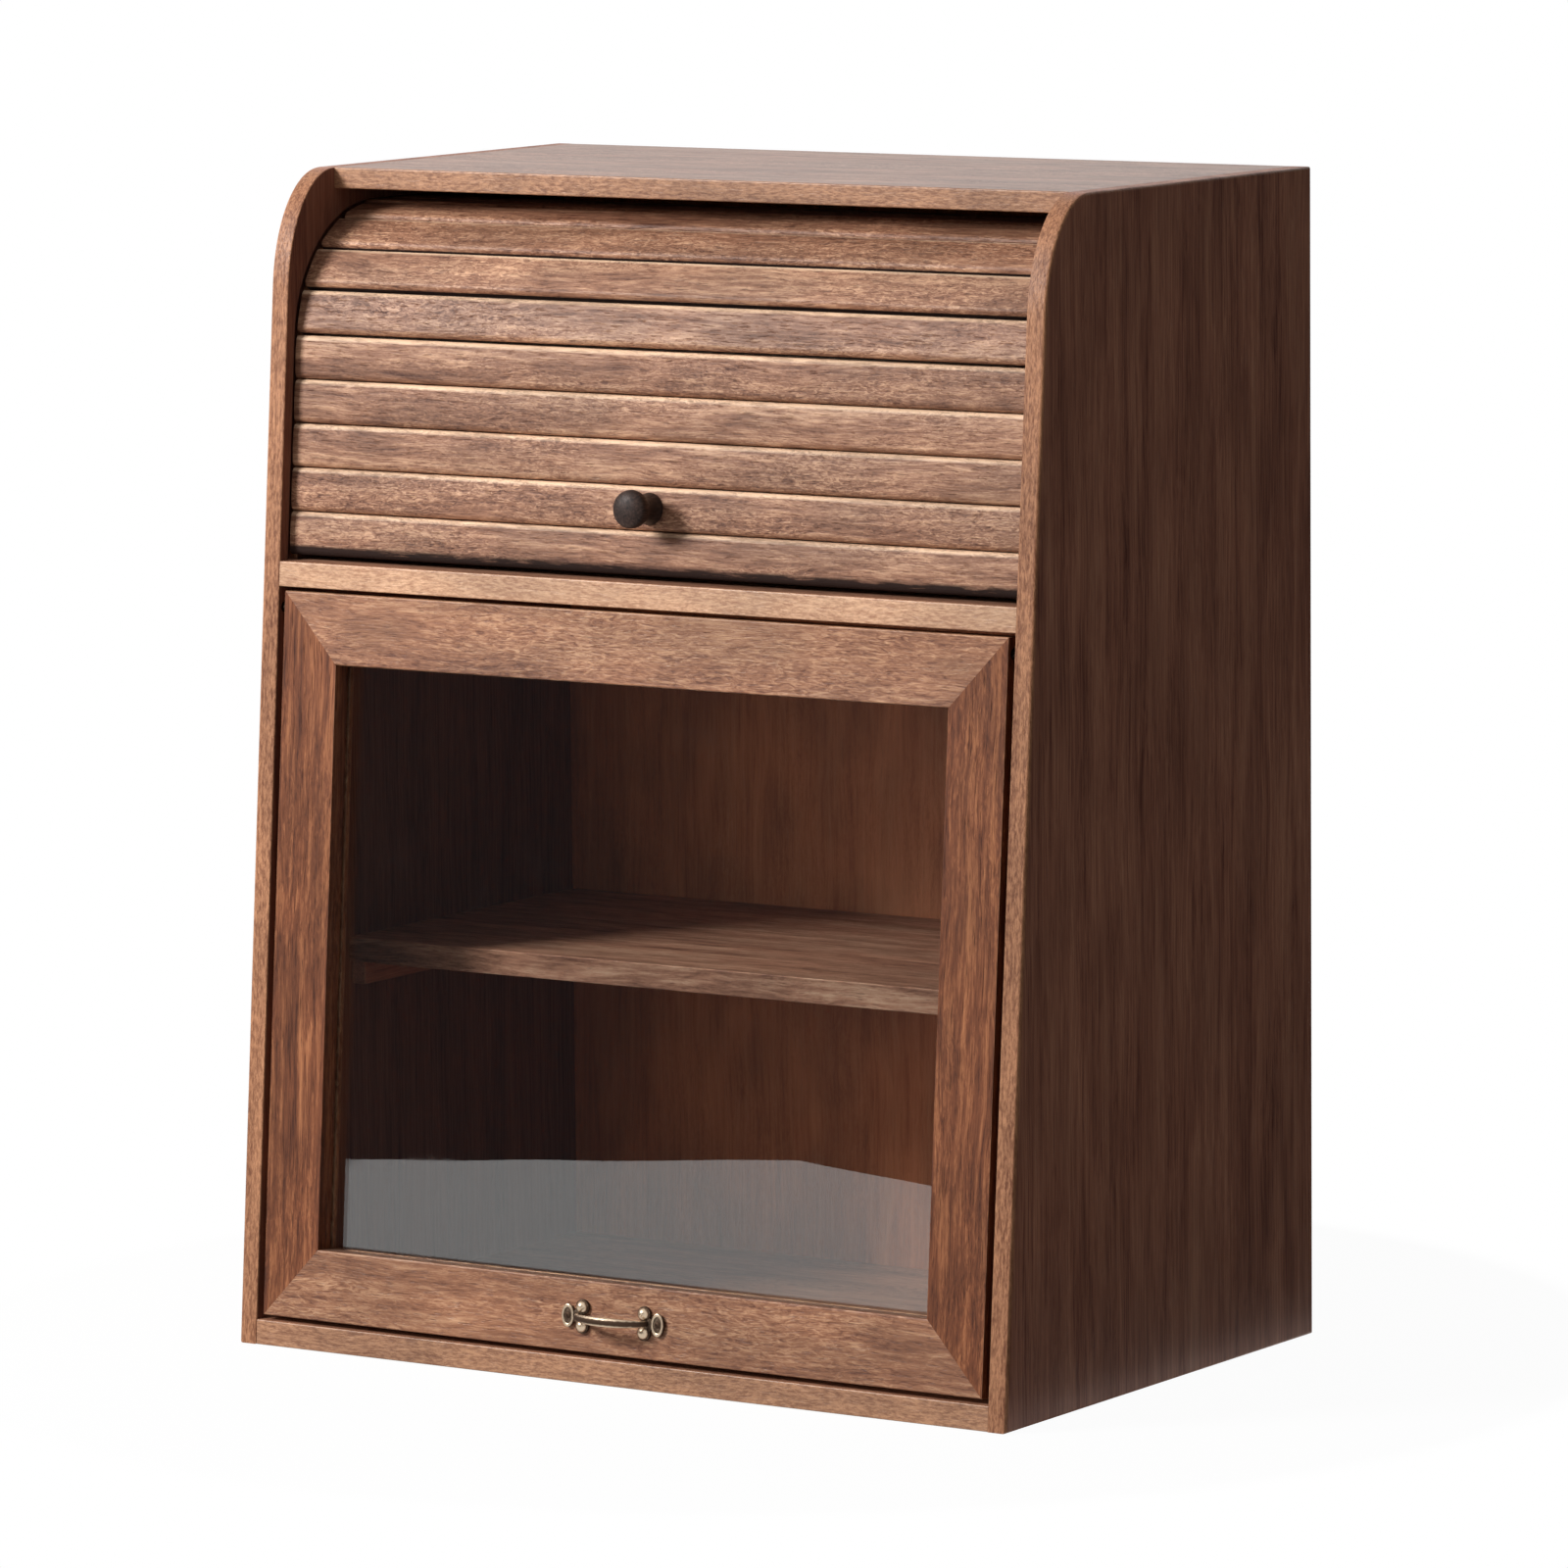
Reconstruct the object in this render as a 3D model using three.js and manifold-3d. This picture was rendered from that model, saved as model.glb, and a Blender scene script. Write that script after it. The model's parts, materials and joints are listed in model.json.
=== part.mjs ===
// A counter-top tea cabinet in walnut. Two side panels whose front edges lean back and round over at
// the top carry three boards and a back. A tambour of wooden slats closes the upper compartment and a
// glazed lift-up door closes the lower one.
// X runs across the width, Y from front to back and Z up. The origin is the middle of the base.
// All sizes are in millimetres.
import * as THREE from 'three';
import Module from 'manifold-3d';
import { mergeVertices } from 'three/addons/utils/BufferGeometryUtils.js';

const wasm = await Module();
wasm.setup();

// Carcase
const cabinetWidth = 433;
const cabinetDepth = 280;
const cabinetHeight = 560;
const frontLean = 44;
const cornerRise = 62;
const cornerRun = 39;
const sideThickness = 10;
const boardThickness = 12;
const topThickness = 10;
const backThickness = 6;
const backRebate = 5;
const upperHeight = 175;
const tongueThickness = 6;
const tongueDepth = 4;
const tongueStop = 15;
const fitGap = 0.3;
const overrun = 1;

// Inner shelf and the cleats that it rests on
const shelfTop = 187;
const shelfFront = 82;
const cleatWidth = 8;
const cleatHeight = 11;
const cleatSetback = 2;

// Tambour. Its setback is square to the leaning front edge
const tambourSetback = 7;
const tambourTopGap = 7;
const tambourRadius = 66;
const tailSlats = 2;
const slatPitch = 21;
const leadSlatHeight = 21;
const slatThickness = 6.5;
const slatGap = 0.4;
const slatEase = 2.6;
const slatEndGap = 0.4;
const leadRestGap = 2;
const tambourTravel = 106;
const canvasThickness = 0.5;
const canvasGap = 0.2;
const canvasSideMargin = 12;
const grooveDepth = 4;
const grooveFit = 0.3;

// Knob on the second slat, and its screw
const slatsBelowKnob = 1;
const knobDiameter = 18;
const knobLength = 20;
const knobBoreDepth = 9;
const screwDiameter = 3;
const screwHeadDiameter = 6.4;
const screwHeadHeight = 1.8;
const screwEndGap = 0.6;

// Glazed door
const doorSideGap = 3.6;
const doorTopGap = 1.9;
const doorBottomGap = 2.6;
const doorThickness = 18;
const stileWidth = 31;
const railWidth = 34;
const mitreGap = 0.4;
const glassThickness = 3;
const glassSetback = 10;
const glassRebate = 6;
const beadRound = 2.5;
const pivotDiameter = 5;
const pivotFromFront = 5;
const pivotFromTop = 8;
const pivotInSide = 6;
const pivotInStile = 5.5;

// Handle
const handleSpacing = 40;
const rosetteThickness = 1.4;
const lobeCount = 3;
const lobeDistance = 5.2;
const lobeRadius = 3.6;
const lobeSpan = 0.72 * Math.PI;
const domeRadius = 2.9;
const domeHeight = 2.2;
const collarRadius = 2.9;
const collarHeight = 1.2;
const bossSink = 0.4;
const rosetteHoleRadius = 1.3;
const bowRise = 10.5;
const bowFootInset = 1;
const bowHalfThickness = 1.2;
const bowFootHalfWidth = 1.6;
const bowMiddleHalfWidth = 2.3;

// Magnetic catch
const catchWidth = 30;
const catchDepth = 12;
const catchHeight = 13;
const strikeWidth = 22;
const strikeHeight = 8;
const strikeThickness = 1;
const strikeFromBottom = 3;

// Numbers of steps on the curves
const cornerSteps = 16;
const grooveSteps = 18;
const arrisSteps = 4;
const roundSteps = 16;
const knobSteps = 24;
const knobProfileSteps = 22;
const domeSteps = 14;
const domeProfileSteps = 5;
const bowSteps = 24;
const bowSides = 12;
const bisections = 40;

// Places worked out from the sizes
const innerWidth = cabinetWidth - 2 * sideThickness;
const innerHalf = innerWidth / 2;
const leanAngle = Math.atan2(frontLean, cabinetHeight);
const topBoardBottom = cabinetHeight - topThickness;
const middleBoardTop = topBoardBottom - upperHeight;
const middleBoardBottom = middleBoardTop - boardThickness;
const backFront = cabinetDepth - backThickness;
const canvasLine = slatThickness + canvasGap + canvasThickness / 2;
const tambourTop = topBoardBottom - tambourTopGap;
const tambourCentreZ = tambourTop - tambourRadius;
const tambourCentreY = edgeY(tambourCentreZ) + (tambourSetback + tambourRadius) / Math.cos(leanAngle);
const canvasRadius = tambourRadius - canvasLine;

const walnut = { color: 0x8a6350, roughness: 0.62, metalness: 0 };
const walnutFront = { color: 0xa8826c, roughness: 0.6, metalness: 0 };
const paleWood = { color: 0xc09a78, roughness: 0.7, metalness: 0 };
const cloth = { color: 0x8d8272, roughness: 0.95, metalness: 0 };
const darkTurning = { color: 0x2c2422, roughness: 0.5, metalness: 0 };
const oldBrass = { color: 0x8a6f48, roughness: 0.38, metalness: 0.9 };
const steel = { color: 0x9b9b98, roughness: 0.35, metalness: 0.9 };
const clearGlass = { color: 0x9fb0b8, roughness: 0.05, metalness: 0 };
const darkPlastic = { color: 0x4a3226, roughness: 0.6, metalness: 0 };

// A drawing of depth and height, turned so that its extrusion runs along the width
const widthwise = new THREE.Matrix4().makeBasis(
  new THREE.Vector3(0, 1, 0),
  new THREE.Vector3(0, 0, 1),
  new THREE.Vector3(1, 0, 0),
);
// A drawing of width and height, turned so that its extrusion runs from front to back
const depthwise = new THREE.Matrix4().makeBasis(
  new THREE.Vector3(-1, 0, 0),
  new THREE.Vector3(0, 0, 1),
  new THREE.Vector3(0, 1, 0),
);

function addPiece(parent, name, geometry, finish, x = 0, y = 0, z = 0) {
  const mesh = new THREE.Mesh(geometry, new THREE.MeshStandardMaterial(finish));
  mesh.name = name;
  mesh.position.set(x, y, z);
  parent.add(mesh);
  return mesh;
}

function extrudeAcross(shape, width, steps) {
  const options = { depth: width, bevelEnabled: false, curveSegments: steps };
  const geometry = new THREE.ExtrudeGeometry(shape, options);
  return geometry.applyMatrix4(widthwise);
}

function box(x0, x1, y0, y1, z0, z1) {
  const geometry = new THREE.BoxGeometry(x1 - x0, y1 - y0, z1 - z0);
  return geometry.translate((x0 + x1) / 2, (y0 + y1) / 2, (z0 + z1) / 2);
}

function polygon(points) {
  return new THREE.Shape(points.map(([a, b]) => new THREE.Vector2(a, b)));
}

function disc(a, b, radius) {
  return new THREE.Shape().absarc(a, b, radius, 0, 2 * Math.PI, false);
}

function toSolid(geometry) {
  const bare = geometry.clone();
  bare.deleteAttribute('normal');
  bare.deleteAttribute('uv');
  const merged = mergeVertices(bare);
  return new wasm.Manifold(new wasm.Mesh({
    numProp: 3,
    vertProperties: new Float32Array(merged.attributes.position.array),
    triVerts: new Uint32Array(merged.index.array),
  }));
}

function toGeometry(solid) {
  const mesh = solid.getMesh();
  const geometry = new THREE.BufferGeometry();
  geometry.setAttribute('position', new THREE.BufferAttribute(new Float32Array(mesh.vertProperties), 3));
  geometry.setIndex(new THREE.BufferAttribute(new Uint32Array(mesh.triVerts), 1));
  geometry.computeVertexNormals();
  return geometry;
}

function cut(geometry, cutters) {
  let solid = toSolid(geometry);
  for (const cutter of cutters) {
    solid = solid.subtract(toSolid(cutter));
  }
  return toGeometry(solid);
}

function join(geometries) {
  const solids = geometries.map(toSolid);
  return toGeometry(solids.reduce((whole, next) => whole.add(next)));
}

// The leaning front edge: how far back it is at a height
function edgeY(z) {
  return frontLean * z / cabinetHeight;
}

// The rounded top corner is an ellipse that touches the leaning edge and the top
function cornerEllipse() {
  const stretch = cornerRise / cornerRun;
  const turn = Math.atan(stretch * frontLean / cabinetHeight);
  const z = cabinetHeight - cornerRise;
  const y = edgeY(z) + cornerRun / Math.cos(turn);
  return { y, z, start: Math.PI - turn, startZ: z + cornerRise * Math.sin(turn) };
}

const corner = cornerEllipse();

function sideOutline() {
  const shape = new THREE.Shape();
  shape.moveTo(0, 0);
  shape.lineTo(edgeY(corner.startZ), corner.startZ);
  shape.absellipse(corner.y, corner.z, cornerRun, cornerRise, corner.start, Math.PI / 2, true);
  shape.lineTo(cabinetDepth, cabinetHeight);
  shape.lineTo(cabinetDepth, 0);
  return shape;
}

// Where a line along the tambour, this far from the middle of its bend, starts to bend
function bendStart(radius) {
  return {
    y: tambourCentreY - radius * Math.cos(leanAngle),
    z: tambourCentreZ + radius * Math.sin(leanAngle),
  };
}

// How far back the same line meets the middle board
function trackFootY(radius) {
  const { y, z } = bendStart(radius);
  return y - (z - middleBoardTop) * Math.tan(leanAngle);
}

// The groove that the tambour runs in: up behind the leaning edge, round the corner and back
function grooveOutline() {
  const outer = tambourRadius + grooveFit;
  const inner = tambourRadius - slatThickness - grooveFit;
  const end = tailEndY() + tambourTravel + grooveFit;
  const bend = bendStart(outer);
  const shape = new THREE.Shape();
  shape.moveTo(trackFootY(outer), middleBoardTop);
  shape.lineTo(bend.y, bend.z);
  shape.absarc(tambourCentreY, tambourCentreZ, outer, Math.PI - leanAngle, Math.PI / 2, true);
  shape.lineTo(end, tambourCentreZ + outer);
  shape.lineTo(end, tambourCentreZ + inner);
  shape.absarc(tambourCentreY, tambourCentreZ, inner, Math.PI / 2, Math.PI - leanAngle, false);
  shape.lineTo(trackFootY(inner), middleBoardTop);
  return shape;
}

function rectangle(y0, y1, z0, z1) {
  return polygon([[y0, z0], [y1, z0], [y1, z1], [y0, z1]]);
}

// Each board's tongue, stopped short of the front and the back
function tongue({ front, bottom, thickness }) {
  const z = bottom + (thickness - tongueThickness) / 2;
  return { y0: front + tongueStop, y1: backFront - tongueStop, z0: z, z1: z + tongueThickness };
}

const boards = [
  { name: 'bottom_board', front: 0, back: backFront, bottom: 0, thickness: boardThickness },
  {
    name: 'middle_board',
    front: edgeY(middleBoardBottom),
    back: backFront,
    bottom: middleBoardBottom,
    thickness: boardThickness,
  },
  {
    name: 'top_board',
    front: corner.y,
    back: cabinetDepth,
    bottom: topBoardBottom,
    thickness: topThickness,
  },
];

function recess(shape, depth, innerX, inward, steps) {
  const geometry = extrudeAcross(shape, depth + overrun, steps);
  return geometry.translate(inward > 0 ? innerX - depth : innerX - overrun, 0, 0);
}

// A side panel, with its inner face looking along +X when inward is 1
function sidePanel(inward) {
  const panel = extrudeAcross(sideOutline(), sideThickness, cornerSteps);
  const innerX = inward > 0 ? sideThickness : 0;
  const housings = boards.map((entry) => {
    const { y0, y1, z0, z1 } = tongue(entry);
    const shape = rectangle(y0 - fitGap, y1 + fitGap, z0 - fitGap, z1 + fitGap);
    return recess(shape, tongueDepth + fitGap, innerX, inward, 1);
  });
  const rebate = rectangle(backFront, cabinetDepth + overrun, -overrun, topBoardBottom);
  const hole = disc(pivot.y, pivot.z, pivotDiameter / 2 + fitGap);
  return cut(panel, [
    ...housings,
    recess(grooveOutline(), grooveDepth, innerX, inward, grooveSteps),
    recess(rebate, backRebate, innerX, inward, 1),
    recess(hole, pivotInSide, innerX, inward, roundSteps),
  ]);
}

function board(entry, leaning) {
  const { front, back, bottom, thickness } = entry;
  const top = bottom + thickness;
  const rise = leaning ? edgeY(top) - edgeY(bottom) : 0;
  const outline = polygon([[front, bottom], [back, bottom], [back, top], [front + rise, top]]);
  const body = extrudeAcross(outline, innerWidth, 1).translate(-innerHalf, 0, 0);
  const { y0, y1, z0, z1 } = tongue(entry);
  const reach = innerHalf + tongueDepth;
  return join([body, box(-reach, reach, y0, y1, z0, z1)]);
}

function addCarcase(parent) {
  addPiece(parent, 'side_left', sidePanel(1), walnut, -cabinetWidth / 2);
  addPiece(parent, 'side_right', sidePanel(-1), walnut, innerHalf);
  for (const entry of boards) {
    addPiece(parent, entry.name, board(entry, entry.name !== 'top_board'), paleWood);
  }
  const backHalf = innerHalf + backRebate - fitGap;
  const back = box(-backHalf, backHalf, backFront, cabinetDepth, 0, topBoardBottom - fitGap);
  addPiece(parent, 'back_panel', back, walnut);
}

function addShelf(parent) {
  const half = innerHalf - fitGap;
  const bottom = shelfTop - boardThickness;
  const back = backFront - fitGap;
  addPiece(parent, 'shelf', box(-half, half, shelfFront, back, bottom, shelfTop), paleWood);
  for (const [name, side] of [['left', -1], ['right', 1]]) {
    const x0 = side < 0 ? -innerHalf : innerHalf - cleatWidth;
    const front = shelfFront + cleatSetback;
    const cleat = box(x0, x0 + cleatWidth, front, back, bottom - cleatHeight, bottom);
    addPiece(parent, `shelf_cleat_${name}`, cleat, walnut);
  }
}

// The track of the canvas line, by its length from the middle board
const bendTurn = Math.PI / 2 - leanAngle;
const trackStraight = (bendStart(canvasRadius).z - middleBoardTop) / Math.cos(leanAngle);
const trackBend = canvasRadius * bendTurn;
// The lead slat, the slats up to the end of the bend, and the tail behind it
const slatCount = 1 + Math.round((trackStraight + trackBend - leadSlatHeight) / slatPitch) + tailSlats;

function trackPoint(run) {
  const below = Math.max(trackStraight - run, 0);
  const turn = leanAngle + Math.min(Math.max((run - trackStraight) / canvasRadius, 0), bendTurn);
  const flat = Math.max(run - trackStraight - trackBend, 0);
  return {
    y: tambourCentreY - canvasRadius * Math.cos(turn) + flat - below * Math.sin(leanAngle),
    z: tambourCentreZ + canvasRadius * Math.sin(turn) - below * Math.cos(leanAngle),
  };
}

// The next bending line along the track, one straight slat away
function nextRun(run, chord) {
  const start = trackPoint(run);
  let near = run;
  let far = run + 2 * chord;
  for (let step = 0; step < bisections; step += 1) {
    const middle = (near + far) / 2;
    const { y, z } = trackPoint(middle);
    if (Math.hypot(y - start.y, z - start.z) < chord) {
      near = middle;
    } else {
      far = middle;
    }
  }
  return near;
}

function slatHeight(index) {
  return index === 1 ? leadSlatHeight : slatPitch;
}

// Where each slat's lower and upper bending lines lie when the tambour is down
function slatRuns() {
  const runs = [leadRestGap];
  for (let index = 1; index <= slatCount; index += 1) {
    runs.push(nextRun(runs[index - 1], slatHeight(index)));
  }
  return runs;
}

function tailEndY() {
  return trackPoint(slatRuns()[slatCount]).y;
}

// A slat's section: the front edges are eased by a quarter round
function slatSection(height) {
  const front = -canvasLine;
  const back = front + slatThickness;
  const low = slatGap / 2;
  const high = height - slatGap / 2;
  const shape = new THREE.Shape();
  shape.moveTo(back, low);
  shape.lineTo(back, high);
  shape.absarc(front + slatEase, high - slatEase, slatEase, Math.PI / 2, Math.PI, false);
  shape.absarc(front + slatEase, low + slatEase, slatEase, Math.PI, 3 * Math.PI / 2, false);
  return shape;
}

function rodAlongY(radius, y0, y1, z) {
  const rod = new THREE.CylinderGeometry(radius, radius, y1 - y0, roundSteps);
  return rod.translate(0, (y0 + y1) / 2, z);
}

function addTambour(parent) {
  const runs = slatRuns();
  const canvasHalf = innerHalf - canvasSideMargin;
  for (let index = 1; index <= slatCount; index += 1) {
    const height = slatHeight(index);
    const start = trackPoint(runs[index - 1]);
    const end = trackPoint(runs[index]);
    const seat = new THREE.Group();
    seat.position.set(0, start.y, start.z);
    seat.rotation.x = -Math.atan2(end.y - start.y, end.z - start.z);
    parent.add(seat);

    // Only the tail slats reach into the grooves, which they follow within their fit
    const reach = index > slatCount - tailSlats ? grooveDepth - grooveFit : -slatEndGap;
    const half = innerHalf + reach;
    let slat = extrudeAcross(slatSection(height), 2 * half, arrisSteps).translate(-half, 0, 0);
    const canvasY = canvasThickness / 2;
    let canvas = box(-canvasHalf, canvasHalf, -canvasY, canvasY, canvasGap, height - canvasGap);
    if (index === 1 + slatsBelowKnob) {
      const hole = rodAlongY(screwDiameter / 2 + fitGap, -canvasLine - overrun, overrun, height / 2);
      slat = cut(slat, [hole]);
      canvas = cut(canvas, [hole]);
      addKnob(seat, height / 2);
    }
    const number = String(index).padStart(2, '0');
    addPiece(seat, `tambour_slat_${number}`, slat, walnutFront);
    addPiece(seat, `tambour_canvas_${number}`, canvas, cloth);
  }
}

// Shares of the knob's radius and length, from its foot to the edge of its domed face
const knobProfileShares = [
  [0.66, 0], [0.62, 0.06], [0.55, 0.2], [0.57, 0.34], [0.78, 0.52],
  [0.96, 0.67], [1, 0.77], [0.93, 0.88], [0.68, 0.955], [0.34, 0.99],
];

function addKnob(seat, z) {
  const radius = knobDiameter / 2;
  const bore = screwDiameter / 2 + fitGap;
  const spots = knobProfileShares.map(([r, along]) => new THREE.Vector2(r * radius, along * knobLength));
  const profile = [
    new THREE.Vector2(0, knobBoreDepth),
    new THREE.Vector2(bore, knobBoreDepth),
    new THREE.Vector2(bore, 0),
    ...new THREE.SplineCurve(spots).getPoints(knobProfileSteps),
    new THREE.Vector2(0, knobLength),
  ];
  const knob = new THREE.LatheGeometry(profile, knobSteps).rotateX(Math.PI);
  addPiece(seat, 'knob', knob, darkTurning, 0, -canvasLine - fitGap, z);

  const shank = screwDiameter / 2;
  const head = screwHeadDiameter / 2;
  const seatY = canvasThickness / 2 + fitGap;
  const tip = canvasLine + fitGap + knobBoreDepth - screwEndGap;
  const dome = new THREE.EllipseCurve(0, seatY, head, screwHeadHeight, 0, Math.PI / 2, false);
  const screwProfile = [
    new THREE.Vector2(0, -tip),
    new THREE.Vector2(shank, -tip + shank),
    new THREE.Vector2(shank, seatY),
    ...dome.getPoints(domeProfileSteps),
  ];
  screwProfile[screwProfile.length - 1].x = 0;
  addPiece(seat, 'knob_screw', new THREE.LatheGeometry(screwProfile, roundSteps), steel, 0, 0, z);
}

// The door's own frame: its front face is y = 0 and its lower front edge is z = 0
const doorWidth = innerWidth - 2 * doorSideGap;
const doorHalf = doorWidth / 2;
const doorBottom = boardThickness + doorBottomGap;
const doorHeight = (middleBoardBottom - doorTopGap - doorBottom) / Math.cos(leanAngle);
const openingHalf = doorHalf - stileWidth;
const openingTop = doorHeight - railWidth;

// A place on the door, as depth and height in the cabinet
function fromDoor(y, z) {
  return {
    y: edgeY(doorBottom) + y * Math.cos(leanAngle) + z * Math.sin(leanAngle),
    z: doorBottom + z * Math.cos(leanAngle) - y * Math.sin(leanAngle),
  };
}

const pivot = fromDoor(pivotFromFront, doorHeight - pivotFromTop);

// A member of the door frame from its outline in the plane of the door
function doorMember(outline, cutters) {
  const options = { depth: doorThickness, bevelEnabled: false };
  const geometry = new THREE.ExtrudeGeometry(outline, options);
  return cut(geometry.applyMatrix4(depthwise), cutters);
}

function rebateCutter() {
  const half = openingHalf + glassRebate;
  const back = doorThickness + overrun;
  return box(-half, half, glassSetback, back, railWidth - glassRebate, openingTop + glassRebate);
}

// The hole for a pivot pin. It reaches over the mitre, so it is cut in the stile and the top rail
function pivotHole(side) {
  const inner = pivotInStile + fitGap;
  const hole = new THREE.CylinderGeometry(
    pivotDiameter / 2 + fitGap,
    pivotDiameter / 2 + fitGap,
    inner + overrun,
    roundSteps,
  );
  hole.rotateZ(Math.PI / 2);
  const x = side * (doorHalf + (overrun - inner) / 2);
  return hole.translate(x, pivotFromFront, doorHeight - pivotFromTop);
}

// The left stile is drawn at +X because turning the drawing mirrors it
function stile(side) {
  const outline = polygon([
    [-side * doorHalf, mitreGap],
    [-side * openingHalf, railWidth + mitreGap],
    [-side * openingHalf, openingTop - mitreGap],
    [-side * doorHalf, doorHeight - mitreGap],
  ]);
  return doorMember(outline, [rebateCutter(), pivotHole(side)]);
}

function rail(outer, inner) {
  const outline = polygon([
    [-doorHalf, outer], [doorHalf, outer], [openingHalf, inner], [-openingHalf, inner],
  ]);
  return doorMember(outline, [rebateCutter(), pivotHole(-1), pivotHole(1)]);
}

// A glazing bead: a strip whose inner back edge is rounded over
function beadSection(outer, inner) {
  const front = glassSetback + glassThickness + 2 * fitGap;
  const toOuter = Math.sign(outer - inner);
  const shape = new THREE.Shape();
  shape.moveTo(front, outer);
  shape.lineTo(front, inner);
  shape.lineTo(doorThickness - beadRound, inner);
  shape.quadraticCurveTo(doorThickness, inner, doorThickness, inner + toOuter * beadRound);
  shape.lineTo(doorThickness, outer);
  return shape;
}

function addGlazing(door) {
  const glassHalf = openingHalf + glassRebate - fitGap;
  const glassLow = railWidth - glassRebate + fitGap;
  const glassHigh = openingTop + glassRebate - fitGap;
  const glassY = glassSetback + fitGap;
  const pane = box(-glassHalf, glassHalf, glassY, glassY + glassThickness, glassLow, glassHigh);
  addPiece(door, 'door_glass', pane, clearGlass);

  for (const [name, outer, inner] of [['bottom', glassLow, railWidth], ['top', glassHigh, openingTop]]) {
    const bead = extrudeAcross(beadSection(outer, inner), 2 * glassHalf, arrisSteps);
    addPiece(door, `glass_bead_${name}`, bead.translate(-glassHalf, 0, 0), walnut);
  }
  const upright = openingTop - railWidth - 2 * fitGap;
  for (const [name, side] of [['left', -1], ['right', 1]]) {
    const section = beadSection(side * glassHalf, side * openingHalf);
    const options = { depth: upright, bevelEnabled: false, curveSegments: arrisSteps };
    const bead = new THREE.ExtrudeGeometry(section, options);
    bead.rotateZ(Math.PI / 2);
    bead.scale(-1, 1, 1);
    flipFaces(bead);
    addPiece(door, `glass_bead_${name}`, bead, walnut, 0, 0, railWidth + fitGap);
  }
}

// Turns the faces of a mirrored shape outwards again
function flipFaces(geometry) {
  const places = geometry.attributes.position;
  for (let face = 0; face < places.count; face += 3) {
    const kept = new THREE.Vector3().fromBufferAttribute(places, face + 1);
    const moved = new THREE.Vector3().fromBufferAttribute(places, face + 2);
    places.setXYZ(face + 1, ...moved);
    places.setXYZ(face + 2, ...kept);
  }
  geometry.computeVertexNormals();
}

function addDoorFrame(door) {
  addPiece(door, 'door_stile_left', stile(-1), walnutFront);
  addPiece(door, 'door_stile_right', stile(1), walnutFront);
  addPiece(door, 'door_rail_top', rail(doorHeight, openingTop), walnutFront);
  addPiece(door, 'door_rail_bottom', rail(0, railWidth), walnutFront);
}

function lobeAngle(lobe) {
  return 2 * Math.PI * lobe / lobeCount;
}

// A plate of three lobes: two domes towards the bow and a screw collar outwards
function rosette(side) {
  const shape = new THREE.Shape();
  for (let lobe = 0; lobe < lobeCount; lobe += 1) {
    const angle = lobeAngle(lobe);
    const x = lobeDistance * Math.cos(angle);
    const z = lobeDistance * Math.sin(angle);
    shape.absarc(x, z, lobeRadius, angle - lobeSpan, angle + lobeSpan, false);
  }
  const options = { depth: rosetteThickness, bevelEnabled: false, curveSegments: domeSteps };
  const plate = new THREE.ExtrudeGeometry(shape, options);
  const dome = [
    new THREE.Vector2(0, 0),
    ...new THREE.EllipseCurve(0, 0, domeRadius, domeHeight, 0, Math.PI / 2).getPoints(domeProfileSteps),
  ];
  dome[dome.length - 1].x = 0;
  const collar = [[0, 0], [collarRadius, 0], [collarRadius, collarHeight / 2],
    [(collarRadius + rosetteHoleRadius) / 2, collarHeight], [0, collarHeight]];
  const parts = [plate];
  for (let lobe = 1; lobe < lobeCount; lobe += 1) {
    parts.push(raised(dome, lobeAngle(lobe)));
  }
  parts.push(raised(collar.map(([r, h]) => new THREE.Vector2(r, h)), 0));
  const whole = join(parts);
  const bore = new THREE.CylinderGeometry(
    rosetteHoleRadius,
    rosetteHoleRadius,
    2 * (rosetteThickness + collarHeight + overrun),
    domeSteps,
  );
  bore.rotateX(Math.PI / 2).translate(lobeDistance, 0, 0);
  const drilled = cut(whole, [bore]);
  drilled.rotateZ(side > 0 ? 0 : Math.PI);
  return drilled.rotateX(Math.PI / 2);
}

// A turned boss that stands on the plate at one lobe
function raised(profile, angle) {
  const boss = new THREE.LatheGeometry(profile, domeSteps).rotateX(Math.PI / 2);
  const x = lobeDistance * Math.cos(angle);
  const y = lobeDistance * Math.sin(angle);
  return boss.translate(x, y, rosetteThickness - bossSink);
}

// The bow: an oval section swept over a half oval, wider in the middle
function bow() {
  const half = handleSpacing / 2 - bowFootInset;
  const places = [];
  const faces = [];
  for (let step = 0; step <= bowSteps; step += 1) {
    const turn = Math.PI * step / bowSteps;
    const centreX = -half * Math.cos(turn);
    const centreY = -bowRise * Math.sin(turn);
    const outX = -bowRise * Math.cos(turn);
    const outY = -half * Math.sin(turn);
    const length = Math.hypot(outX, outY);
    const grow = Math.sin(turn) ** 2;
    const halfWidth = bowFootHalfWidth + (bowMiddleHalfWidth - bowFootHalfWidth) * grow;
    for (let side = 0; side < bowSides; side += 1) {
      const angle = 2 * Math.PI * side / bowSides;
      const out = bowHalfThickness * Math.cos(angle) / length;
      places.push(centreX + outX * out, centreY + outY * out, halfWidth * Math.sin(angle));
    }
  }
  for (let step = 0; step < bowSteps; step += 1) {
    for (let side = 0; side < bowSides; side += 1) {
      const next = (side + 1) % bowSides;
      const a = step * bowSides + side;
      const b = step * bowSides + next;
      faces.push(a, b + bowSides, b, a, a + bowSides, b + bowSides);
    }
  }
  const last = bowSteps * bowSides;
  for (let side = 1; side < bowSides - 1; side += 1) {
    faces.push(0, side, side + 1);
    faces.push(last, last + side + 1, last + side);
  }
  const geometry = new THREE.BufferGeometry();
  geometry.setAttribute('position', new THREE.Float32BufferAttribute(places, 3));
  geometry.setIndex(faces);
  geometry.computeVertexNormals();
  return geometry;
}

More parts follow.
